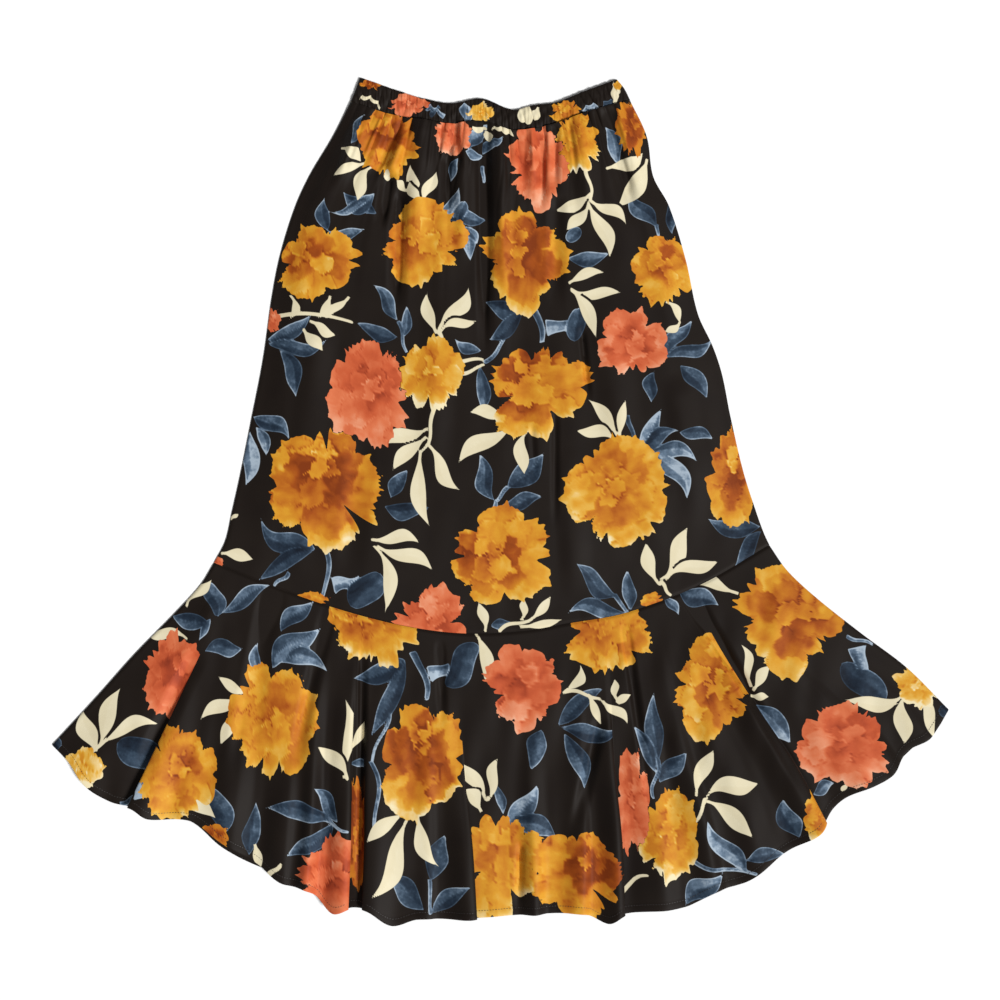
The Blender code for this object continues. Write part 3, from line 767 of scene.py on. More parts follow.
def run_lengths(plan: np.ndarray, axis: int) -> tuple[np.ndarray, np.ndarray]:
    """Distances of grid points from the two ends of their row or column.

    Args:
        plan: places in plan, rows by columns.
        axis: 0 for down the columns and 1 for along the rows.

    Returns:
        The distance from the first end, and from the last.
    """
    steps = np.linalg.norm(np.diff(plan, axis=axis), axis=-1)
    start = np.zeros_like(np.take(steps, [0], axis=axis))
    walked = np.concatenate([start, np.cumsum(steps, axis=axis)], axis=axis)
    return walked, np.take(walked, [-1], axis=axis) - walked


def rolled(height: np.ndarray, distance: np.ndarray, radius: float, least: float) -> np.ndarray:
    """Heights that roll over towards an edge like a folded cloth.

    Args:
        height: heights before the roll.
        distance: distance from the edge.
        radius: how far in the roll begins.
        least: share of the height that is left at the edge.

    Returns:
        The heights with the roll.
    """
    inside = np.clip(distance / radius, 0, 1)
    return height * (least + (1 - least) * np.sqrt(1 - (1 - inside) ** 2))


@dataclass
class Sections:
    """Parts of a panel between folds that lap over: no motif shows on both sides of a lap."""

    plan: np.ndarray
    which: np.ndarray
    down: np.ndarray
    starts: np.ndarray

    def of(self, spot: np.ndarray) -> int:
        """Section of the point nearest to a spot."""
        away = np.linalg.norm(self.plan.reshape(-1, 2) - spot, axis=1)
        return int(self.which.ravel()[np.argmin(away)])

    def parted(self, near: np.ndarray, section: int) -> np.ndarray:
        """Which of these points a lap parts from a section.

        Args:
            near: numbers of the points.
            section: the section that a motif is in.

        Returns:
            True for each point whose section is another, below where the laps between begin.
        """
        which, down = self.which.ravel()[near], self.down.ravel()[near]
        out = np.zeros(len(near), bool)
        for other in np.unique(which[which != section]):
            between = self.starts[min(other, section):max(other, section)]
            out |= (which == other) & (down > between.max())
        return out


@dataclass(frozen=True)
class LeafStyle:
    """How a family of leaves is painted.

    A leaf is drawn slimmer than its row says from a width of slim_from up, and as a plain stem up to
    stem_width. Where it lies over others, gap is the ground that shows round it, in mm, and
    parting how steeply their field falls there.
    """

    first_seed: int
    contrast: float
    tone: float
    slim: float
    slim_from: int
    stem_width: int
    gap: float
    parting: float
    waved: bool


CREAM_STYLE = LeafStyle(first_seed=500, contrast=0.3, tone=0.64, slim=0.93, slim_from=8,
                        stem_width=7, gap=3.0, parting=2.0, waved=False)
BLUE_STYLE = LeafStyle(first_seed=0, contrast=1.0, tone=0.42, slim=1.0, slim_from=8,
                       stem_width=8, gap=-0.2, parting=1.0, waved=True)


class Ring(NamedTuple):
    """Ring of painted petals, from base to tip of the bloom's radius."""

    base: float
    tip: float
    petals: int
    width: float
    rust: float


@dataclass
class Printed:
    """Painter of the floral print: what each point of a panel's cloth carries.

    Each of the four colour families has a field in mm, above 0 inside its motifs.
    """

    LEAF_SEEDS = 1000
    BLOOM_SEEDS = 7000
    # Field far outside any motif, and a value below every field
    FAR = -30.0
    OUTSIDE = -99
    MIDDLE_TONE = 0.5
    BLUE_TONE = 0.4
    # Leaves: least half width of a stem, and how broad for their length the short ones are
    THIN = 2.2
    SLENDER = 0.3
    STUBBY = 0.46
    ROUND = 0.5
    # Width from which a leaf shows its midrib and parts the ones beneath, and where it is a large one
    RIBBED = 8
    LARGE = 26
    LEAF_MARGIN = 4
    MIDRIB_BEND = 2.6
    MIDRIB_BOW = 0.07
    BLUNT_END = 0.4
    # Shares of a leaf's length between which it parts the ones beneath
    PARTS_FROM, PARTS_TO = 0.16, 1.05
    # Shading of a leaf: one side darker, the tip lighter, a light midrib and its half width in mm
    SIDE_SHADE, SIDE_BLEND = 0.14, 1.5
    TIP_LIGHT, TIP_MIDDLE = 0.24, 0.4
    MIDRIB_LIGHT, MIDRIB_HALF = 0.2, 0.8
    LIGHT_SCALE = 0.6
    # Blooms: reach of their outline beyond their half sizes, and how far colour washes pull petals
    BLOOM_REACH = 1.4
    BLOOM_MARGIN = 6
    WASH_SEED = 70
    WASHES = (15.0, 15.0, 22.0)
    WASH_PULL = 0.04
    CLEFTS = 4
    SPIKE_PITCH = 9.5
    LEAST_SPIKES = 7
    USUAL_RADIUS = 26
    RUST = 0.18
    PETAL_SHADOW = 0.06
    PETAL_LINE = 0.045
    RINGS = (
        Ring(0.25, 1.4, 6, 0.66, 0.0),
        Ring(0.1, 0.92, 5, 0.46, 0.8),
        Ring(0.03, 0.62, 5, 0.34, 1.0),
        Ring(-0.04, 0.3, 3, 0.2, 0.55),
    )

    panel: Panel
    mirrored: bool = False
    seed: int = 5
    sections: Sections | None = None

    def paint(self, cloth: np.ndarray) -> dict[str, np.ndarray]:
        """Paint the panel.

        Args:
            cloth: the printed cloth's own coordinates, in metres.

        Returns:
            Attribute values by name, one for each point.
        """
        points = cloth.reshape(-1, 2) / MM
        count = len(points)
        blooms = np.full((count, 3), self.FAR)
        blooms[:, 2] = self.MIDDLE_TONE
        leaves = blooms.copy()
        blue_tone = np.full(count, self.BLUE_TONE)
        for index, leaf in enumerate(BLUE_LEAVES[self.panel]):
            self.add_leaf(points, leaf, index, BLUE_STYLE, leaves[:, 1], blue_tone)
        for index, leaf in enumerate(CREAM_LEAVES[self.panel]):
            self.add_leaf(points, leaf, index, CREAM_STYLE, leaves[:, 0], leaves[:, 2])
        for index, bloom in enumerate(BLOOMS[self.panel]):
            self.add_bloom(points, bloom, index, blooms)
        cloth_place = np.dstack([cloth, np.zeros(cloth.shape[:2])])
        return {"bloom_print": blooms, "leaf_print": leaves, "blue_tone": blue_tone,
                "cloth_place": cloth_place}

    def place(self, spot: np.ndarray) -> np.ndarray:
        """Place of a spot on the panel, in mm from the origin."""
        return in_metres(spot) / MM * (-1 if self.mirrored else 1, 1)

    def part(self, near: np.ndarray, middle: np.ndarray, amount: np.ndarray) -> np.ndarray:
        """Field of a motif without the points that a lap parts from it."""
        if self.sections is None:
            return amount
        cut = self.sections.parted(near, self.sections.of(middle * MM))
        return np.where(cut, self.FAR, amount)

    def add_leaf(self, points: np.ndarray, leaf: Leaf, index: int, style: LeafStyle,
                 ink: np.ndarray, tones: np.ndarray) -> None:
        """Add one leaf to its family's field and tone.

        Args:
            points: the cloth's coordinates in mm.
            leaf: the leaf.
            index: its number, which seeds its uneven edge.
            style: how its family is painted.
            ink: the family's field, changed in place.
            tones: the family's tone, changed in place.
        """
        foot = self.place(from_pixel(leaf.foot_x, leaf.foot_y))
        tip = self.place(from_pixel(leaf.tip_x, leaf.tip_y))
        middle, run = (foot + tip) / 2, tip - foot
        slim = style.slim if leaf.width >= style.slim_from else 1
        width = round(leaf.width * MM_PER_PIXEL * slim)
        length = max(np.linalg.norm(run), 1.0)
        reach = length / 2 + width + self.LEAF_MARGIN
        near = np.flatnonzero(np.abs(points - middle).max(axis=1) < reach)
        if not len(near):
            return
        pick = np.random.default_rng(self.seed * self.LEAF_SEEDS + style.first_seed + index)
        local = points[near] - foot
        t = local @ run / length**2
        inside = np.clip(t, 0, 1)
        beside = local @ np.array([-run[1], run[0]]) / length
        beside = beside - leaf.bend * length * self.MIDRIB_BEND * inside * (1 - inside)
        bow = pick.uniform(-self.MIDRIB_BOW, self.MIDRIB_BOW)
        beside = beside - bow * length * np.sin(2 * np.pi * inside)
        amount = self.leaf_half(leaf, style, width, width / length, inside, pick) - np.abs(beside)
        amount = np.minimum(amount, np.minimum(t, 1 - t) * length + self.BLUNT_END)
        amount = self.part(near, middle, amount)
        # Ground shows between a cream leaf and the ones beneath, but a blue one has only its pale rim
        apart = (t > self.PARTS_FROM) & (t < self.PARTS_TO) & (width > self.RIBBED) & (amount > self.FAR)
        beneath = ink[near[apart]]
        ink[near[apart]] = np.minimum(beneath, style.parting * (-amount[apart] - style.gap))
        side = pick.choice([-1.0, 1.0])
        shade = self.SIDE_SHADE * side * np.tanh(beside / self.SIDE_BLEND)
        shade = shade + self.TIP_LIGHT * (inside - self.TIP_MIDDLE)
        midrib = np.exp(-((beside / self.MIDRIB_HALF) ** 2)) * (self.RIBBED < width < self.LARGE)
        shade = shade + self.MIDRIB_LIGHT * midrib
        tone = style.tone + style.contrast * shade + self.LIGHT_SCALE * leaf.light
        better = amount > ink[near]
        tones[near[better]] = tone[better]
        ink[near[better]] = amount[better]

    def leaf_half(self, leaf: Leaf, style: LeafStyle, width: int, broad: float, inside: np.ndarray,
                  pick: np.random.Generator) -> np.ndarray:
        """Half width of a leaf along its midrib: a stem, a cut-off tip, an oval or a pointed leaf.

        Args:
            leaf: the leaf.
            style: how its family is painted.
            width: its width in mm.
            broad: its width as a share of its length.
            inside: places along the midrib, from 0 at the foot to 1 at the tip.
            pick: its own source of unevenness.

        Returns:
            The half width at each place, in mm.
        """
        if width <= style.stem_width and broad < self.SLENDER:
            return max(width / 2, self.THIN) * (1 - 0.35 * inside)
        if broad > self.STUBBY and leaf.light > 0.4:
            return width / 2 * (0.6 + 0.4 * inside**2)
        if broad > (self.STUBBY if width >= self.LARGE else self.ROUND):
            return width * np.sqrt(inside * (1 - inside))
        if style.waved:
            shape = 1.08 * np.sin(np.pi * inside ** pick.uniform(0.78, 1.0)) ** 1.15
            shape = shape * (1 + 0.06 * np.sin(pick.uniform(7, 12) * inside + pick.uniform(0, 6)))
            return width / 2 * shape
        shape = 1.12 * np.sin(np.pi * inside ** pick.uniform(1.0, 1.3)) ** pick.uniform(1.2, 1.5)
        return np.maximum(width / 2 * shape, self.THIN * 0.7 * (inside < 0.5))

    def add_bloom(self, points: np.ndarray, bloom: Bloom, index: int, blooms: np.ndarray) -> None:
        """Add one bloom with its ruffled outline and painted petals.

        Args:
            points: the cloth's coordinates in mm.
            bloom: the bloom.
            index: its number, which seeds its petals.
            blooms: mustard field, coral field and tone, changed in place.
        """
        middle = self.place(from_pixel(bloom.x, bloom.y))
        wide, high = round(bloom.wide * MM_PER_PIXEL), round(bloom.high * MM_PER_PIXEL)
        near = np.flatnonzero(
            (np.abs(points[:, 0] - middle[0]) < self.BLOOM_REACH * wide + self.BLOOM_MARGIN)
            & (np.abs(points[:, 1] - middle[1]) < self.BLOOM_REACH * high + self.BLOOM_MARGIN)
        )
        if not len(near):
            return
        pick = np.random.default_rng(self.seed * self.BLOOM_SEEDS + index)
        u = (points[near, 0] - middle[0]) / wide * (-1 if self.mirrored else 1)
        v = (points[near, 1] - middle[1]) / high
        mean = (wide + high) / 2
        rho, theta = np.hypot(u, v), np.arctan2(v, u)
        amount = self.part(near, middle, self.bloom_outline(theta, mean, pick) - rho * mean)
        first = self.WASH_SEED + 5 * index
        local = points[near] * MM
        wash = [uneven(local, first + k, size * MM) for k, size in enumerate(self.WASHES)]
        tone = self.petal_tones(u + self.WASH_PULL * wash[0], v + self.WASH_PULL * wash[1], bloom, pick)
        fringe = smooth((0.2 * mean - amount) / (0.2 * mean)) * smooth((-v - 0.05) / 0.5)
        tone = tone + bloom.foot * (0.28 * smooth((-v - 0.2) / 0.8) + 0.34 * fringe)
        # A bloom's light lifts or drops its whole tone: partly the print's own, partly painted shade
        tone = tone + 0.05 * wash[2] + bloom.light
        top = (amount > 0) | (amount > blooms[near, :2].max(axis=1))
        ink, other = bloom.ink.value, 1 - bloom.ink.value
        chosen = near[top]
        inside = near[amount > 0]
        blooms[inside, other] = np.minimum(blooms[inside, other], -amount[amount > 0])
        blooms[chosen, 2] = tone[top]
        before = np.where(amount[top] > 0, self.OUTSIDE, blooms[chosen, ink])
        blooms[chosen, ink] = np.maximum(amount[top], before)

    def bloom_outline(self, theta: np.ndarray, mean: float, pick: np.random.Generator) -> np.ndarray:
        """Radius of the outline in mm at these angles: uneven petals with toothed tips.

        Args:
            theta: angles round the bloom.
            mean: its mean radius in mm.
            pick: its own source of unevenness.

        Returns:
            The radius at each angle.
        """
        petals = int(pick.integers(5, 8))
        starts = np.sort((np.arange(petals) + pick.uniform(-0.32, 0.32, petals)) / petals)
        turn = (theta / (2 * np.pi) + pick.uniform()) % 1.0
        which = (np.searchsorted(starts, turn) - 1) % petals
        ends = np.append(starts[1:], starts[0] + 1)
        share = ((turn - starts[which]) % 1.0) / (ends[which] - starts[which])
        reach = pick.uniform(0.8, 1.13, petals)[which]
        lobe = reach * (0.8 + 0.2 * np.sin(np.pi * np.clip(share, 0, 1)) ** 0.5)
        for waves in (2, 3):
            lobe = lobe + pick.uniform(0.015, 0.06) * np.cos(waves * theta + pick.uniform(0, TURN))
        for _ in range(self.CLEFTS):
            gap = (theta - pick.uniform(-np.pi, np.pi) + np.pi) % (2 * np.pi) - np.pi
            lobe = lobe - pick.uniform(0.1, 0.32) * np.exp(-((gap / pick.uniform(0.05, 0.12)) ** 2))
        spikes = max(self.LEAST_SPIKES, round(2 * np.pi * mean / self.SPIKE_PITCH))
        phase = turn * spikes + 1.1 * np.sin(2 * np.pi * 2 * turn + 1) + 0.6 * np.sin(10 * np.pi * turn)
        point = np.clip(1 - np.abs((phase % 1.0) - 0.5) / 0.34, 0, 1)
        size = np.maximum(pick.uniform(-3.5, 8.5, spikes), 0)[np.floor(phase).astype(int) % spikes]
        frill = np.abs(np.sin(np.pi * 1.7 * phase)) + 0.5 * np.sin(2 * np.pi * 3.7 * phase)
        return lobe * mean + (point * size + 0.9 * frill) * min(1.0, mean / self.USUAL_RADIUS)

    def petal_tones(self, u: np.ndarray, v: np.ndarray, bloom: Bloom,
                    pick: np.random.Generator) -> np.ndarray:
        """Light and dark of the painted petals, laid from the outer ring to the heart.

        Args:
            u: place across, in half widths.
            v: place up, in half heights.
            bloom: the bloom, whose inner petals are darker and lie round its heart.
            pick: the bloom's own source of unevenness.

        Returns:
            A tone from 0 to 1 for each point.
        """
        tone = np.full(len(u), self.MIDDLE_TONE)
        for number, ring in enumerate(self.RINGS):
            depth = number / (len(self.RINGS) - 1)
            x, y = u - depth * bloom.heart_x, v - depth * bloom.heart_y
            first = pick.uniform(0, 2 * np.pi)
            for k in range(ring.petals):
                angle = first + 2 * np.pi * (k + pick.uniform(-0.25, 0.25)) / ring.petals
                reach = ring.tip * pick.uniform(0.8, 1.15)
                along = (x * math.cos(angle) + y * math.sin(angle) - ring.base) / (reach - ring.base)
                across = y * math.cos(angle) - x * math.sin(angle)
                inside = np.clip(along, 0, 1)
                half = ring.width * pick.uniform(0.75, 1.2) * np.sqrt(inside) * np.sqrt(1 - inside**4)
                cover = half - np.abs(across)
                rust = (self.RUST + bloom.heart) * ring.rust * pick.choice([0.0, 0.6, 1.0, 1.0])
                value = 0.52 + pick.uniform(-0.05, 0.1) + 0.14 * (inside - 0.4) - 0.5 * rust
                value = value + 0.14 * rust * inside**2 + 0.06 * across / (half + 0.05)
                value = value + 0.02 * np.sin(38 * across + 3 * inside)
                edge = smooth(1 - cover / self.PETAL_LINE)
                value = value + 0.22 * depth * edge * pick.choice([0.0, 1.0])
                on = (along > 0) & (along < 1)
                shade = on & (cover < 0) & (cover > -self.PETAL_SHADOW)
                dark = pick.choice([0.03, 0.1, 0.24])
                tone[shade] -= dark * (1 + cover[shade] / self.PETAL_SHADOW)
                painted = on & (cover >= 0)
                tone[painted] = value[painted]
        return tone


def face_normals(outer: np.ndarray) -> np.ndarray:
    """Unit normals of a grid of points, upwards for a level grid.

    Args:
        outer: points, rows from the waist down by columns to the right.

    Returns:
        One normal for each point.
    """
    across = np.gradient(outer, axis=1)
    down = np.gradient(outer, axis=0)
    normals = np.cross(down, across)
    return normals / np.maximum(np.linalg.norm(normals, axis=-1, keepdims=True), 1e-12)


@dataclass
class ClothShell:
    """Thin closed shell of cloth: a fine face that shows, and a coarser one behind it."""

    name: str
    outer: np.ndarray
    values: dict[str, np.ndarray]
    shows: int = 1
    wall: float = SHELL
    least_wall: float = 0.6

    def make(self) -> bpy.types.Object:
        """Build the mesh.

        Returns:
            The object, with the print's values as attributes.
        """
        rows, columns = self.outer.shape[:2]
        inner = self.outer[::2, ::2] - self.shows * self.wall * face_normals(self.outer)[::2, ::2]
        # The coarse wrong side stays behind the narrow creases of the right side
        around = np.pad(self.shows * self.outer[..., 2], 1, mode="edge")
        moved = [around[r : r + rows, c : c + columns] for r in range(3) for c in range(3)]
        behind_all = np.min(moved, axis=0)[::2, ::2] - self.least_wall * self.wall
        inner[..., 2] = self.shows * np.minimum(self.shows * inner[..., 2], behind_all)
        inner[..., 2] = np.maximum(inner[..., 2], LOWEST_INSIDE)
        points = np.vstack([self.outer.reshape(-1, 3), inner.reshape(-1, 3)])
        fine = np.arange(rows * columns).reshape(rows, columns)
        coarse = rows * columns + np.arange(inner.shape[0] * inner.shape[1]).reshape(inner.shape[:2])
        faces = self.cells(fine, False).tolist() + self.cells(coarse, True).tolist()
        loop = self.border(fine)
        behind = self.border(coarse)
        for k in range(len(behind)):
            corners = loop[2 * k], loop[2 * k + 1], loop[(2 * k + 2) % len(loop)]
            faces.append([*corners, behind[(k + 1) % len(behind)], behind[k]])
        if self.shows < 0:
            faces = [face[::-1] for face in faces]
        mesh = bpy.data.meshes.new(self.name)
        mesh.from_pydata(points.tolist(), [], faces)
        mesh.shade_smooth()
        mesh.set_sharp_from_angle(angle=SHARP_FROM)
        for name, value in self.values.items():
            self.write(mesh, name, value.reshape(rows, columns, -1))
        piece = bpy.data.objects.new(self.name, mesh)
        bpy.context.collection.objects.link(piece)
        return piece

    @staticmethod
    def cells(numbers: np.ndarray, reverse: bool) -> np.ndarray:
        """Four corners of each cell of a grid of point numbers."""
        corners = [numbers[:-1, :-1], numbers[1:, :-1], numbers[1:, 1:], numbers[:-1, 1:]]
        cells = np.stack(corners, -1).reshape(-1, 4)
        return cells[:, ::-1] if reverse else cells

    @staticmethod
    def border(numbers: np.ndarray) -> list[int]:
        """Point numbers round a grid, clockwise seen from above."""
        sides = numbers[0, :-1], numbers[:-1, -1], numbers[-1, :0:-1], numbers[:0:-1, 0]
        return np.concatenate(sides).tolist()

    @staticmethod
    def write(mesh: bpy.types.Mesh, name: str, value: np.ndarray) -> None:
        """Write one attribute on the fine face and the coarse one.

        Args:
            mesh: the shell's mesh.
            name: the attribute's name.
            value: its values, rows by columns of the fine face.
        """
        size = value.shape[-1]
        # The wrong side shows only the ground
        behind = value[::2, ::2].reshape(-1, size)
        behind = np.full_like(behind, Printed.FAR) if name in ("bloom_print", "leaf_print") else behind
        both = np.vstack([value.reshape(-1, size), behind])
        kind, key = ("FLOAT_VECTOR", "vector") if size == 3 else ("FLOAT", "value")
        layer = mesh.attributes.new(name, kind, "POINT")
        layer.data.foreach_set(key, both.astype(np.float32).ravel())


def linear(colour: str) -> tuple[float, float, float, float]:
    """Linear colour of an sRGB hex value."""
    parts = [int(colour[k : k + 2], 16) / 255 for k in (1, 3, 5)]
    return (*[c / 12.92 if c <= 0.04045 else ((c + 0.055) / 1.055) ** 2.4 for c in parts], 1.0)


def add(tree: bpy.types.NodeTree, kind: str, sockets: dict | None = None, **settings: Any) -> Any:
    """Add one node.

    Args:
        tree: the material's node tree.
        kind: the node's type.
        sockets: for each input, a value or the output socket that feeds it.
        settings: the node's own settings.

    Returns:
        The node.
    """
    node = tree.nodes.new(kind)
    for name, value in settings.items():
        setattr(node, name, value)
    for name, value in (sockets or {}).items():
        if isinstance(value, bpy.types.NodeSocket):
            tree.links.new(value, node.inputs[name])
        else:
            node.inputs[name].default_value = value
    return node


def set_ramp(node: Any, stops: tuple) -> Any:
    """Set a colour ramp's stops.

    Args:
        node: the ramp's node.
        stops: pairs of a place and a hex colour.

    Returns:
        The ramp's colour output.
    """
    ramp = node.color_ramp
    while len(ramp.elements) < len(stops):
        ramp.elements.new(0.5)
    for element, (place, colour) in zip(ramp.elements, stops):
        element.position = place
        element.color = linear(colour)
    return node.outputs["Color"]


# Colour sockets of the mix node, which names them all alike
MIX_FACTOR, MIX_UNDER, MIX_OVER, MIX_COLOUR = 0, 6, 7, 2


@dataclass(frozen=True)
class PrintedViscose:
    """Woven viscose crepe with a hand-painted style floral print on a near-black ground."""

    ground: tuple = ((0.3, "#18110D"), (0.7, "#1B140F"))
    mustard: tuple = ((0.0, "#7A330B"), (0.2, "#9C4A12"), (0.35, "#B4661A"), (0.5, "#C57E20"),
                      (0.65, "#D19429"), (0.8, "#DAAB4A"), (0.92, "#E2C382"), (1.0, "#E6D8B0"))
    coral: tuple = ((0.0, "#86331D"), (0.2, "#A64426"), (0.4, "#C25934"), (0.6, "#D37149"),
                    (0.8, "#DF916D"), (1.0, "#E8B698"))
    cream: tuple = ((0.0, "#938C84"), (0.35, "#C6BBA0"), (0.6, "#D9CEAD"), (1.0, "#E9E1C6"))
    blue: tuple = ((0.0, "#0E1622"), (0.3, "#1F2C3B"), (0.55, "#364657"), (0.8, "#64778B"),
                   (1.0, "#A3B2C0"))
    roughness: float = 0.6
    sheen: float = 0.01
    sheen_roughness: float = 0.5
    gloss: float = 0.125
    # Soft edge of the ink, how far it is torn and the size of the tears
    edge_mm: float = 0.35
    ragged_mm: float = 1.5
    tear_mm: float = 5.0
    # Sizes of the blotches, the grain and the ground's slow drift
    blotch_mm: float = 13.0
    grain_mm: float = 3.2
    drift_mm: float = 32.0
    # Pale rim of the blue leaves: where it ends and begins inside the outline, and its lift
    rim_mm: tuple = (0.3, 1.7)
    rim_lift: float = 0.34
    # Crepe grain, really about 0.4 mm and drawn larger so that it shows at all
    crepe_mm: float = 1.1
    bump_mm: float = 0.25
    bump_strength: float = 0.3

    def make(self) -> bpy.types.Material:
        """Build the material.

        Returns:
            A matt, slightly grainy cloth: the eye sees flat ink with ragged edges, and a soft
            sheen on the tops of the folds.
        """
        material = bpy.data.materials.new("printed_viscose_crepe")
        material.use_nodes = True
        tree = material.node_tree
        shader = tree.nodes["Principled BSDF"]
        place = add(tree, "ShaderNodeAttribute", attribute_name="cloth_place").outputs["Vector"]
        blooms = add(tree, "ShaderNodeAttribute", attribute_name="bloom_print").outputs["Vector"]
        leaves = add(tree, "ShaderNodeAttribute", attribute_name="leaf_print").outputs["Vector"]
        blue_tone = add(tree, "ShaderNodeAttribute", attribute_name="blue_tone").outputs["Fac"]
        bloom = add(tree, "ShaderNodeSeparateXYZ", {0: blooms})
        leaf = add(tree, "ShaderNodeSeparateXYZ", {0: leaves})

        def noise(size_mm: float, detail: float) -> Any:
            """Noise of a real size on the cloth."""
            sockets = {"Vector": place, "Scale": 1 / (size_mm * MM), "Detail": detail}
            return add(tree, "ShaderNodeTexNoise", sockets).outputs["Fac"]

        def sum_of(value: Any, extra: Any, amount: float, middle: float = 0.5) -> Any:
            """value + (extra - middle) * amount."""
            scaled = add(tree, "ShaderNodeMath", {0: extra, 1: amount, 2: -middle * amount},
                         operation="MULTIPLY_ADD").outputs[0]
            return add(tree, "ShaderNodeMath", {0: value, 1: scaled}, operation="ADD").outputs[0]

        ragged = noise(self.tear_mm, 3.0)

        def mask(amount: Any, share: float = 1.0) -> Any:
            """1 inside the motifs, with the ragged edge of painted ink."""
            torn = sum_of(amount, ragged, self.ragged_mm * share)
            sockets = {"Value": torn, "From Min": -self.edge_mm, "From Max": self.edge_mm}
            return add(tree, "ShaderNodeMapRange", sockets, interpolation_type="SMOOTHSTEP").outputs[0]

        blotch, grain = noise(self.blotch_mm, 3.0), noise(self.grain_mm, 2.0)
        drift = noise(self.drift_mm, 2.0)

        def toned(tone: Any, stops: tuple, large: float, small: float) -> Any:
            """Ramp colour of a tone with blotches of ink on it."""
            mixed = sum_of(sum_of(tone, blotch, large), grain, small)
            return set_ramp(add(tree, "ShaderNodeValToRGB", {"Fac": mixed}), stops)

        sockets = {"Value": leaf.outputs["Y"], "From Min": self.rim_mm[0], "From Max": self.rim_mm[1],
                   "To Min": self.rim_lift, "To Max": 0.0}
        rim = add(tree, "ShaderNodeMapRange", sockets).outputs[0]
        rimmed = add(tree, "ShaderNodeMath", {0: blue_tone, 1: rim}, operation="ADD").outputs[0]
        colour = set_ramp(add(tree, "ShaderNodeValToRGB", {"Fac": drift}), self.ground)
        layers = (
            (mask(leaf.outputs["Y"], 0.3), toned(rimmed, self.blue, 0.75, 0.3)),
            (mask(leaf.outputs["X"], 0.25), toned(leaf.outputs["Z"], self.cream, 0.2, 0.05)),
            (mask(bloom.outputs["Y"]), toned(bloom.outputs["Z"], self.coral, 0.22, 0.07)),
            (mask(bloom.outputs["X"]), toned(bloom.outputs["Z"], self.mustard, 0.2, 0.07)),
        )
        for factor, ink in layers:
            sockets = {MIX_FACTOR: factor, MIX_UNDER: colour, MIX_OVER: ink}
            colour = add(tree, "ShaderNodeMix", sockets, data_type="RGBA").outputs[MIX_COLOUR]
        sockets = {"Height": noise(self.crepe_mm, 2.0), "Strength": self.bump_strength,
                   "Distance": self.bump_mm * MM}
        bump = add(tree, "ShaderNodeBump", sockets)
        tree.links.new(colour, shader.inputs["Base Color"])
        tree.links.new(bump.outputs["Normal"], shader.inputs["Normal"])
        shader.inputs["Roughness"].default_value = self.roughness
        shader.inputs["Specular IOR Level"].default_value = self.gloss
        shader.inputs["Sheen Weight"].default_value = self.sheen
        shader.inputs["Sheen Roughness"].default_value = self.sheen_roughness
        return material


@dataclass(frozen=True)
class SewingThread:
    """Spun polyester sewing thread in the colour of the ground."""

    colour: str = "#1A1514"
    # Lighter colour of the twist, a painted highlight
    light: str = "#2E2725"
    roughness: float = 0.5
    twist_mm: float = 0.6

    def make(self) -> bpy.types.Material:
        """Build the material.

        Returns:
            A dark thread, with a lighter colour painted on its twist as the highlight that it would
            catch.
        """
        material = bpy.data.materials.new("spun_polyester_thread")
        material.use_nodes = True
        tree = material.node_tree
        shader = tree.nodes["Principled BSDF"]
        coordinates = add(tree, "ShaderNodeTexCoord").outputs["Object"]
        sockets = {"Vector": coordinates, "Scale": 1 / (self.twist_mm * MM)}
        twist = add(tree, "ShaderNodeTexNoise", sockets)
        ramp = add(tree, "ShaderNodeValToRGB", {"Fac": twist.outputs["Fac"]})
        stops = ((0.35, self.colour), (0.7, self.light))
        tree.links.new(set_ramp(ramp, stops), shader.inputs["Base Color"])
        shader.inputs["Roughness"].default_value = self.roughness
        return material


@dataclass(frozen=True)
class StudioPaper:
    """Matt white paper of the studio floor."""

    colour: str = "#FBFBFB"
    roughness: float = 0.9

    def make(self) -> bpy.types.Material:
        """Build the material, a plain white that shows no grain."""
        material = bpy.data.materials.new("white_studio_paper")
        material.use_nodes = True
        shader = material.node_tree.nodes["Principled BSDF"]
        shader.inputs["Base Color"].default_value = linear(self.colour)
        shader.inputs["Roughness"].default_value = self.roughness
        shader.inputs["Specular IOR Level"].default_value = 0.0
        return material


@dataclass
class Cut:
    """Flat cut of a panel before it was sewn, in metres."""

    width: float
    length: float
    area: float


@dataclass
class Lines:
    """The lines that the panels share."""

    top_edge: Curve = field(default_factory=lambda: Curve(TOP_EDGE))
    waist_seam: Curve = field(default_factory=lambda: Curve(WAIST_SEAM))
    drop_seam: Curve = field(default_factory=lambda: Curve(DROP_SEAM))
    hem: Curve = field(default_factory=lambda: Curve(HEM))
    back_hem: Curve = field(default_factory=lambda: Curve(BACK_HEM))


def dress(piece: bpy.types.Object, node: str, material: bpy.types.Material) -> None:
    """Give a panel its material and its place in the model.

    Args:
        piece: the panel.
        node: the solid that it stands for.
        material: its finish.
    """
    piece.data.materials.append(material)
    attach(piece, BODY_NAME)
    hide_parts(node)
    log.info("%s: %d faces", piece.name, len(piece.data.polygons))


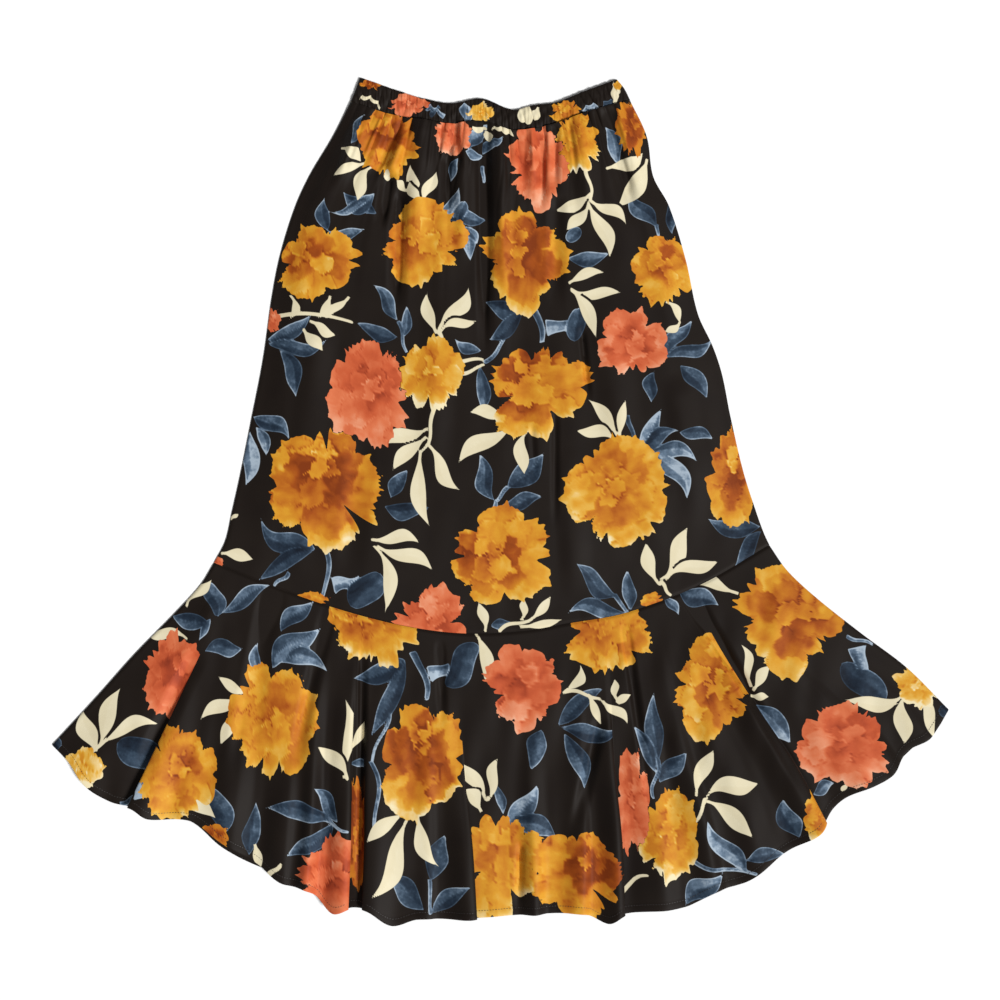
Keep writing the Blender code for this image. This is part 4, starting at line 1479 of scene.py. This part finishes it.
def back_shell(name: str, patch: Patch, panel: Panel, across: np.ndarray, down: np.ndarray,
               relief: Any) -> bpy.types.Object:
    """Back panel, which lies flat on the surface with the print underneath.

    Args:
        name: the piece's name.
        patch: its shape in plan.
        panel: which cut piece it is.
        across: shares of its columns.
        down: shares of its rows.
        relief: function of shares and distances that gives how far creases lift off the surface.

    Returns:
        The object.
    """
    plan = np.stack([patch.row(across, across, share) for share in down])
    top, _ = run_lengths(plan, 0)
    lift = relief(np.broadcast_to(across, plan.shape[:2]), top, plan)
    outer = np.dstack([plan, np.maximum(lift, 0)])
    values = Printed(panel, mirrored=True, seed=BACK_PRINT_SEED).paint(plan)
    return ClothShell(name, outer, values, shows=-1, wall=BACK_SHELL).make()


@dataclass
class Waistband:
    """Casing of the elastic, front and back."""

    lines: Lines
    cloth: bpy.types.Material
    tall: float = 24 * MM
    step: float = 0.85 * MM
    row_step: float = 1.2 * MM
    # The gathers run on right through the casing, and stand highest along its middle
    gather_rise: float = 2.2 * MM
    gather_fade: tuple[float, float] = (1.0, 1.1)
    rise_at_edges: float = 0.55
    rise_between: float = 0.45
    scallop: float = 0.7 * MM
    pull_seed: int = 21
    pull_rise: float = 0.28 * MM
    pull_pitch: float = 3.4 * MM
    pull_stretch: float = 5.0
    side_roll: float = 3.5 * MM
    side_least: float = 0.2
    top_roll: float = 1.6 * MM
    top_least: float = 0.45
    back_lift: float = 0.56 * MM
    cut: Cut = field(default_factory=lambda: Cut(0.38, 0.026, 0.0098))

    def build(self) -> None:
        """Build and dress both casings."""
        down = close_ended(self.tall, self.row_step)
        across = close_ended(self.lines.top_edge.length, self.step)
        patch = Patch(self.lines.top_edge, self.lines.waist_seam, BAND_LEVELS)
        plan = np.stack([patch.row(across, across, share) for share in down])
        rows = down[:, None]
        share, no_fall = np.broadcast_to(across, plan.shape[:2]), np.zeros(plan.shape[:2])
        wave = gather_wave(share, no_fall, *self.gather_fade)
        pulls = uneven(plan, self.pull_seed, self.pull_pitch, self.pull_stretch)
        plan[..., 1] += self.scallop * wave * (1 - rows)
        plan[..., 1] += SEAM_GAP / 2 * rows
        roll = self.rise_at_edges + self.rise_between * np.sin(np.pi * rows)
        height = FRONT_UNDERSIDE + BAND_WALL + self.gather_rise * wave * roll + self.pull_rise * pulls
        left, right = run_lengths(plan, 1)
        top, bottom = run_lengths(plan, 0)
        height -= sunk(bottom, SEAM_SINK, SEAM_REACH)
        height = rolled(height, np.minimum(left, right), self.side_roll, self.side_least)
        height = rolled(height, top, self.top_roll, self.top_least)
        height = np.maximum(height, LOWEST_FACE)
        values = Printed(Panel.BAND).paint(gathered_print(plan, share, no_fall))
        front = ClothShell("waistband_front_cloth", np.dstack([plan, height]), values).make()
        dress(front, "waistband_front", self.cloth)

        under = Patch(self.lines.top_edge, self.lines.waist_seam, BAND_LEVELS, BACK_INSET)
        back = back_shell("waistband_back_cloth", under, Panel.BAND, across, down, self.back_relief)
        dress(back, "waistband_back", self.cloth)

    def back_relief(self, share: np.ndarray, fall: np.ndarray, plan: np.ndarray) -> np.ndarray:
        """Creases between the gathers, which lift off the surface."""
        return self.back_lift * (1 - gather_wave(share, 0 * fall, *self.gather_fade))


@dataclass
class Body:
    """A-line panels between the waistband and the drop seam."""

    lines: Lines
    cloth: bpy.types.Material
    fall: float = 545 * MM
    step: float = 2.15 * MM
    back_step: float = 2.8 * MM
    gather_rise: float = 4.6 * MM
    gather_fade: tuple[float, float] = (22 * MM, 80 * MM)
    # Puff of the whole panel: its share at the waist, and where it grows and dies out
    puff: float = 6.2 * MM
    puff_at_waist: float = 0.35
    puff_below: float = 0.65
    puff_onset: float = 45 * MM
    puff_end: float = 0.25
    crease_depth: float = 2.5
    soft_seed: int = 31
    soft_rise: float = 0.35 * MM
    soft_pitch: float = 46 * MM
    soft_stretch: float = 2.6
    soft_onset: float = 40 * MM
    lowest: float = 0.7 * MM
    back_lift: float = 0.6 * MM
    back_fade: tuple[float, float] = (18 * MM, 62 * MM)
    cut: Cut = field(default_factory=lambda: Cut(0.64, 0.56, 0.28))

    def build(self) -> None:
        """Build and dress both panels."""
        across = close_ended(self.lines.drop_seam.length, self.step)
        down = close_ended(self.fall, self.step)
        patch = Patch(self.lines.waist_seam, self.lines.drop_seam, BODY_LEVELS)
        plan = np.stack([patch.row(across, across, share) for share in down])
        share = np.broadcast_to(across, plan.shape[:2])
        top, bottom = run_lengths(plan, 0)
        left, right = run_lengths(plan, 1)
        side = edge_share(share)
        fullness = self.puff_at_waist + self.puff_below * smooth(top / self.puff_onset)
        puff = self.puff * side * fullness * smooth((1 - down[:, None]) / self.puff_end)
        creases = (fold_rise(plan, BODY_FOLDS) + fold_rise(plan, FINE_FOLDS)) * side
        soft = self.soft_rise * uneven(plan, self.soft_seed, self.soft_pitch, self.soft_stretch)
        soft = soft * side * smooth(top / self.soft_onset)
        gathers = self.gather_rise * gather_wave(share, top, *self.gather_fade)
        relief = puff + self.crease_depth * creases + soft
        height = FRONT_UNDERSIDE + self.lowest + gathers + np.maximum(relief, 0)
        plan[..., 1] += SEAM_GAP / 2 * (2 * down[:, None] - 1)
        height -= sunk(top, SEAM_SINK, SEAM_REACH)
        height -= sunk(bottom, DROP_SINK, DROP_REACH)
        height = rolled(height, np.minimum(left, right), SIDE_ROLL, SIDE_LEAST)
        height = np.maximum(height, LOWEST_FACE)
        values = Printed(Panel.BODY).paint(gathered_print(plan, share, top))
        front = ClothShell("body_front_cloth", np.dstack([plan, height]), values).make()
        dress(front, "body_front", self.cloth)

        under = Patch(self.lines.waist_seam, self.lines.drop_seam, BODY_LEVELS, BACK_INSET)
        wide = close_ended(self.lines.drop_seam.length, self.back_step)
        long = close_ended(self.fall, self.back_step)
        back = back_shell("body_back_cloth", under, Panel.BODY, wide, long, self.back_relief)
        dress(back, "body_back", self.cloth)

    def back_relief(self, share: np.ndarray, fall: np.ndarray, plan: np.ndarray) -> np.ndarray:
        """Creases of the gathers, which die out below the waist."""
        return self.back_lift * gather_wave(1 - share, fall, *self.back_fade)


@dataclass
class Flounce:
    """Flared flounce below the drop seam, in waves that grow towards the hem."""

    lines: Lines
    cloth: bpy.types.Material
    fall: float = 300 * MM
    step: float = 2.38 * MM
    back_step: float = 3.0 * MM
    lap_parts: int = 22
    least_parts: int = 4
    # Share of the way from a crest to its trough at which the trough is reached
    steepness: float = 0.72
    # Shares of the fall at which waves are full and laps are laid
    full_at: float = 0.85
    laid_over: float = 0.6
    fuller: float = 1.3
    puff: float = 5.0 * MM
    puff_onset: float = 0.3
    puff_loss: float = 0.7
    soft_seed: int = 41
    soft_rise: float = 0.4 * MM
    soft_pitch: float = 34 * MM
    soft_stretch: float = 3.0
    soft_onset: float = 0.2
    lowest: float = 0.6 * MM
    # Turned hem: its width, step, pucker along the stitching, and its rolled edge
    hem_turn: float = 8.2 * MM
    turn_rise: float = 0.35 * MM
    turn_reach: float = 0.8 * MM
    pucker_depth: float = 0.3 * MM
    pucker_reach: float = 1.3 * MM
    pucker_pitch: float = 6 * MM
    stitched_at: float = 0.6 * MM
    hem_sink: float = 0.5 * MM
    hem_reach: float = 1.2 * MM
    # Shares of a lap between which the cloth is hidden
    hidden_from: float = 0.15
    hidden_to: float = 0.85
    back_seed: int = 57
    back_lift: float = 0.9 * MM
    back_pitch: float = 60 * MM
    back_stretch: float = 4.0
    back_onset: float = 80 * MM
    back_flat: float = 0.6
    cut: Cut = field(default_factory=lambda: Cut(1.2, 0.34, 0.27))

    def columns(self) -> dict[str, np.ndarray]:
        """Columns of the front: crests, troughs and the ones between.

        Returns:
            By name, one value for each column: its shares of the seam and hem, rise, beginning,
            its share of the way over a lap, the lap's size, and the laps already passed.
        """
        seam_x, hem_x, rise, begins = [DROP_SEAM[0].x], [HEM[0].x], [0.0], [WAVES[0].begins]
        laps = []
        for wave in WAVES:
            seam_x += [wave.crest_seam, wave.trough_seam]
            hem_x += [wave.crest_hem, wave.trough_hem]
            rise += [wave.rise, wave.trough_rise]
            begins += [wave.begins, wave.begins]
            laps += [wave.lap_left, wave.lap_right]
        seam_x.append(DROP_SEAM[-1].x)
        hem_x.append(HEM[-1].x)
        rise.append(0.0)
        begins.append(WAVES[-1].begins)
        laps.append(0.0)
        seam_knots = self.lines.drop_seam.share_at_x((np.array(seam_x) - MIDDLE[0]) * MM)
        hem_knots = self.lines.hem.share_at_x((np.array(hem_x) - MIDDLE[0]) * MM)
        names = "seam", "hem", "rise", "begins", "over", "lap", "passed"
        made: dict[str, list] = {key: [] for key in names}
        passed = 0.0
        for k, lap in enumerate(laps):
            length = (hem_knots[k + 1] - hem_knots[k]) * self.lines.hem.length
            even = max(self.least_parts, 2 * round(length / self.step / 2))
            parts = self.lap_parts if lap else even
            share = np.arange(parts + (k == len(laps) - 1)) / parts
            slope = smooth(share / (self.steepness if k % 2 else 1.0))
            for key, knots, way in (("seam", seam_knots, share), ("hem", hem_knots, share),
                                    ("rise", rise, slope), ("begins", begins, share)):
                made[key].append(knots[k] + (knots[k + 1] - knots[k]) * way)
            made["over"].append(share * (lap > 0))
            made["lap"].append(np.full(len(share), lap * MM))
            made["passed"].append(passed + share * (lap > 0))
            passed += float(lap > 0)
        columns = {key: np.concatenate(value) for key, value in made.items()}
        edge = np.array(CLOSE_EDGE) * MM / self.lines.hem.length
        return self.with_close_edges(columns, edge)

    @staticmethod
    def with_close_edges(columns: dict[str, np.ndarray], edge: np.ndarray) -> dict[str, np.ndarray]:
        """Add close columns at both side folds, an even number of cells in all.

        Args:
            columns: values by name, one for each column.
            edge: distances of the close columns from the edge, as shares of the hem.

        Returns:
            The same values with the new columns.
        """
        first, last = columns["hem"][1], 1 - columns["hem"][-2]
        out = {}
        for key, value in columns.items():
            start = value[0] + (value[1] - value[0]) * edge / first
            end = value[-1] - (value[-1] - value[-2]) * edge[::-1] / last
            out[key] = np.concatenate([value[:1], start, value[1:-1], end, value[-1:]])
        if len(out["hem"]) % 2 == 0:
            middle = len(out["hem"]) // 2
            for key, value in out.items():
                out[key] = np.insert(value, middle, (value[middle - 1] + value[middle]) / 2)
        return out

    def build(self) -> np.ndarray:
        """Build and dress both flounces.

        Returns:
            The line of the front hem's stitching, as points in metres.
        """
        columns = self.columns()
        begins = columns["begins"]
        patch = Patch(self.lines.drop_seam, self.lines.hem, FLOUNCE_LEVELS)
        down = close_ended(self.fall, self.step)
        lap_share = columns["lap"] / self.lines.hem.length * np.sin(2 * np.pi * columns["over"])
        plan_rows, grown_rows = [], []
        for share in down:
            laid = smooth((share - begins * 0.5) / self.laid_over)
            plan_rows.append(patch.row(columns["seam"], columns["hem"] + lap_share * laid, share))
            grown_rows.append(smooth((share - begins) / (self.full_at - begins / 2)))
        plan, grown = np.stack(plan_rows), np.stack(grown_rows)
        share = np.broadcast_to(columns["hem"], plan.shape[:2])
        rows = down[:, None]
        side = edge_share(share)
        fullness = smooth(rows / self.puff_onset) * (1 - self.puff_loss * rows)
        puff = self.puff * side * fullness
        soft = self.soft_rise * uneven(plan, self.soft_seed, self.soft_pitch, self.soft_stretch)
        soft = soft * side * smooth(rows / self.soft_onset)
        waves = self.fuller * columns["rise"] * MM * grown
        valleys = fold_rise(plan, FLOUNCE_FOLDS) * side
        height = FRONT_UNDERSIDE + CLOTH_WALL + puff + waves + valleys + soft
        height = np.maximum(height, FRONT_UNDERSIDE + self.lowest)
        top, bottom = run_lengths(plan, 0)
        left, right = run_lengths(plan, 1)
        turned = self.turn_rise * smooth((self.hem_turn - bottom) / self.turn_reach)
        pucker = np.exp(-(((bottom - self.hem_turn) / self.pucker_reach) ** 2))
        along_hem = 0.6 + 0.4 * np.sin(left * 2 * np.pi / self.pucker_pitch)
        height += turned - self.pucker_depth * pucker * along_hem
        height -= sunk(top, DROP_SINK, DROP_REACH)
        height -= sunk(bottom, self.hem_sink, self.hem_reach)
        height = rolled(height, np.minimum(left, right), SIDE_ROLL, SIDE_LEAST)
        height = np.maximum(height, LOWEST_FACE)
        plan[..., 1] -= SEAM_GAP / 2 * (1 - rows)
        between = (columns["over"] > self.hidden_from) & (columns["over"] < self.hidden_to)
        hides = (columns["lap"] > 0) & between
        starts = [wave.parts_at for wave in WAVES for lap in (wave.lap_left, wave.lap_right) if lap]
        which = np.broadcast_to(np.rint(columns["passed"]).astype(int), plan.shape[:2])
        sections = Sections(plan, which, np.broadcast_to(rows, plan.shape[:2]), np.array(starts))
        values = Printed(Panel.FLOUNCE, sections=sections).paint(plan)
        front = ClothShell("flounce_front_cloth", np.dstack([plan, height]), values).make()
        dress(front, "flounce_front", self.cloth)

        under = Patch(self.lines.drop_seam, self.lines.back_hem, FLOUNCE_LEVELS, BACK_INSET)
        wide = close_ended(self.lines.back_hem.length, self.back_step)
        long = close_ended(self.fall, self.back_step)
        back = back_shell("flounce_back_cloth", under, Panel.FLOUNCE, wide, long, self.back_relief)
        dress(back, "flounce_back", self.cloth)
        return self.line_above_hem(plan, height, bottom, hides)

    def line_above_hem(self, plan: np.ndarray, height: np.ndarray, bottom: np.ndarray,
                       hides: np.ndarray) -> np.ndarray:
        """Line of the hem's stitching on the cloth.

        Args:
            plan: places in plan.
            height: heights.
            bottom: distances from the hem.
            hides: which columns lie under a lap.

        Returns:
            Points along it, in metres, without the hidden columns.
        """
        up = self.hem_turn - self.stitched_at
        line = []
        for column in np.flatnonzero(~hides):
            reach = bottom[::-1, column]
            place = [np.interp(up, reach, plan[::-1, column, k]) for k in (0, 1)]
            line.append([*place, np.interp(up, reach, height[::-1, column])])
        return np.array(line)

    def back_relief(self, share: np.ndarray, fall: np.ndarray, plan: np.ndarray) -> np.ndarray:
        """Shallow waves that lift off the surface."""
        lift = uneven(plan, self.back_seed, self.back_pitch, self.back_stretch)
        return self.back_lift * np.maximum(lift - self.back_flat, 0) * smooth(fall / self.back_onset)


@dataclass
class HemStitching:
    """Row of machine stitches that holds the turned hem."""

    line: np.ndarray
    thread: bpy.types.Material
    pitch: float = 3.0 * MM
    stitch: float = 2.1 * MM
    wide: float = 0.42 * MM
    high: float = 0.28 * MM
    sunk: float = 0.08 * MM
    # A stitch across a fold shorter than this share of its length is left out
    least_share: float = 0.6
    # Places along a stitch and its thickness there: it dips into the cloth at both ends
    sections: tuple = ((0.0, 0.35), (0.25, 1.0), (0.75, 1.0), (1.0, 0.35))

    def build(self) -> None:
        """Build the stitches as one mesh."""
        steps = np.linalg.norm(np.diff(self.line, axis=0), axis=1)
        walked = np.concatenate([[0], np.cumsum(steps)])
        middles = np.arange(self.pitch, walked[-1] - self.pitch, self.pitch)

        def at(distance: float) -> np.ndarray:
            """Point on the line."""
            return np.array([np.interp(distance, walked, self.line[:, k]) for k in range(3)])

        points, faces = [], []
        for middle in middles:
            start, end = at(middle - self.stitch / 2), at(middle + self.stitch / 2)
            along = end - start
            reach = np.linalg.norm(along)
            if reach < self.least_share * self.stitch:
                continue
            along = along / reach
            beside = np.cross((0, 0, 1.0), along)
            beside = beside / max(np.linalg.norm(beside), 1e-9)
            above = np.cross(along, beside)
            base = len(points)
            for share, size in self.sections:
                raised = above * (self.high * size / 2 - self.sunk)
                middle_point = start + share * reach * along + raised
                for side, up in ((-1, -1), (1, -1), (1, 1), (-1, 1)):
                    points.append(middle_point + beside * side * self.wide * size / 2
                                  + above * up * self.high * size / 2)
            for ring in range(len(self.sections) - 1):
                for k in range(4):
                    a, b = base + 4 * ring + k, base + 4 * ring + (k + 1) % 4
                    faces.append([a, b, b + 4, a + 4])
            faces.append([base + 3, base + 2, base + 1, base])
            faces.append([base + 12, base + 13, base + 14, base + 15])
        mesh = bpy.data.meshes.new("hem_stitches")
        mesh.from_pydata([tuple(point) for point in points], [], faces)
        piece = bpy.data.objects.new("hem_stitches", mesh)
        bpy.context.collection.objects.link(piece)
        mesh.materials.append(self.thread)
        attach(piece, BODY_NAME)
        log.info("%s: %d faces", piece.name, len(mesh.polygons))


@dataclass
class Studio:
    """Camera straight above, white floor and soft light from the lower right."""

    distance: float = 2.0
    middle_x: float = -0.0005
    middle_y: float = 0.0009
    frame_width: float = 1.077
    floor_size: float = 8.0
    sky: float = 0.24
    lamp: float = 3.8
    softness: float = 16.0
    lamp_tilt: tuple[float, float] = (22.0, 38.0)
    floor_below: float = 0.3 * MM

    def build(self) -> None:
        """Build the studio."""
        scene = bpy.context.scene
        camera = bpy.data.cameras.new("camera")
        camera.sensor_width = 36.0
        camera.lens = camera.sensor_width * self.distance / self.frame_width
        holder = bpy.data.objects.new("camera", camera)
        holder.location = (self.middle_x, self.middle_y, self.distance)
        scene.collection.objects.link(holder)
        scene.camera = holder

        light = bpy.data.lights.new("window", "SUN")
        light.energy = self.lamp
        light.angle = math.radians(self.softness)
        lamp = bpy.data.objects.new("window", light)
        lamp.rotation_euler = (*[math.radians(angle) for angle in self.lamp_tilt], 0)
        scene.collection.objects.link(lamp)

        world = bpy.data.worlds.new("studio")
        world.use_nodes = True
        world.node_tree.nodes["Background"].inputs["Color"].default_value = (1, 1, 1, 1)
        world.node_tree.nodes["Background"].inputs["Strength"].default_value = self.sky
        scene.world = world
        # The inks are hex values as they look under even light, so no tone curve is laid over them
        scene.view_settings.view_transform = "Standard"

        half = self.floor_size / 2
        mesh = bpy.data.meshes.new("floor")
        corners = [(-half, -half), (half, -half), (half, half), (-half, half)]
        mesh.from_pydata([(x, y, -self.floor_below) for x, y in corners], [], [(0, 1, 2, 3)])
        floor = bpy.data.objects.new("floor", mesh)
        scene.collection.objects.link(floor)
        mesh.materials.append(StudioPaper().make())


def main() -> None:
    """Build the skirt and the studio."""
    logging.basicConfig(level=logging.INFO, format="%(name)s: %(message)s")
    Studio().build()
    lines = Lines()
    cloth = PrintedViscose().make()
    Waistband(lines, cloth).build()
    Body(lines, cloth).build()
    hem_line = Flounce(lines, cloth).build()
    HemStitching(hem_line, SewingThread().make()).build()


if __name__ == "__main__":
    main()
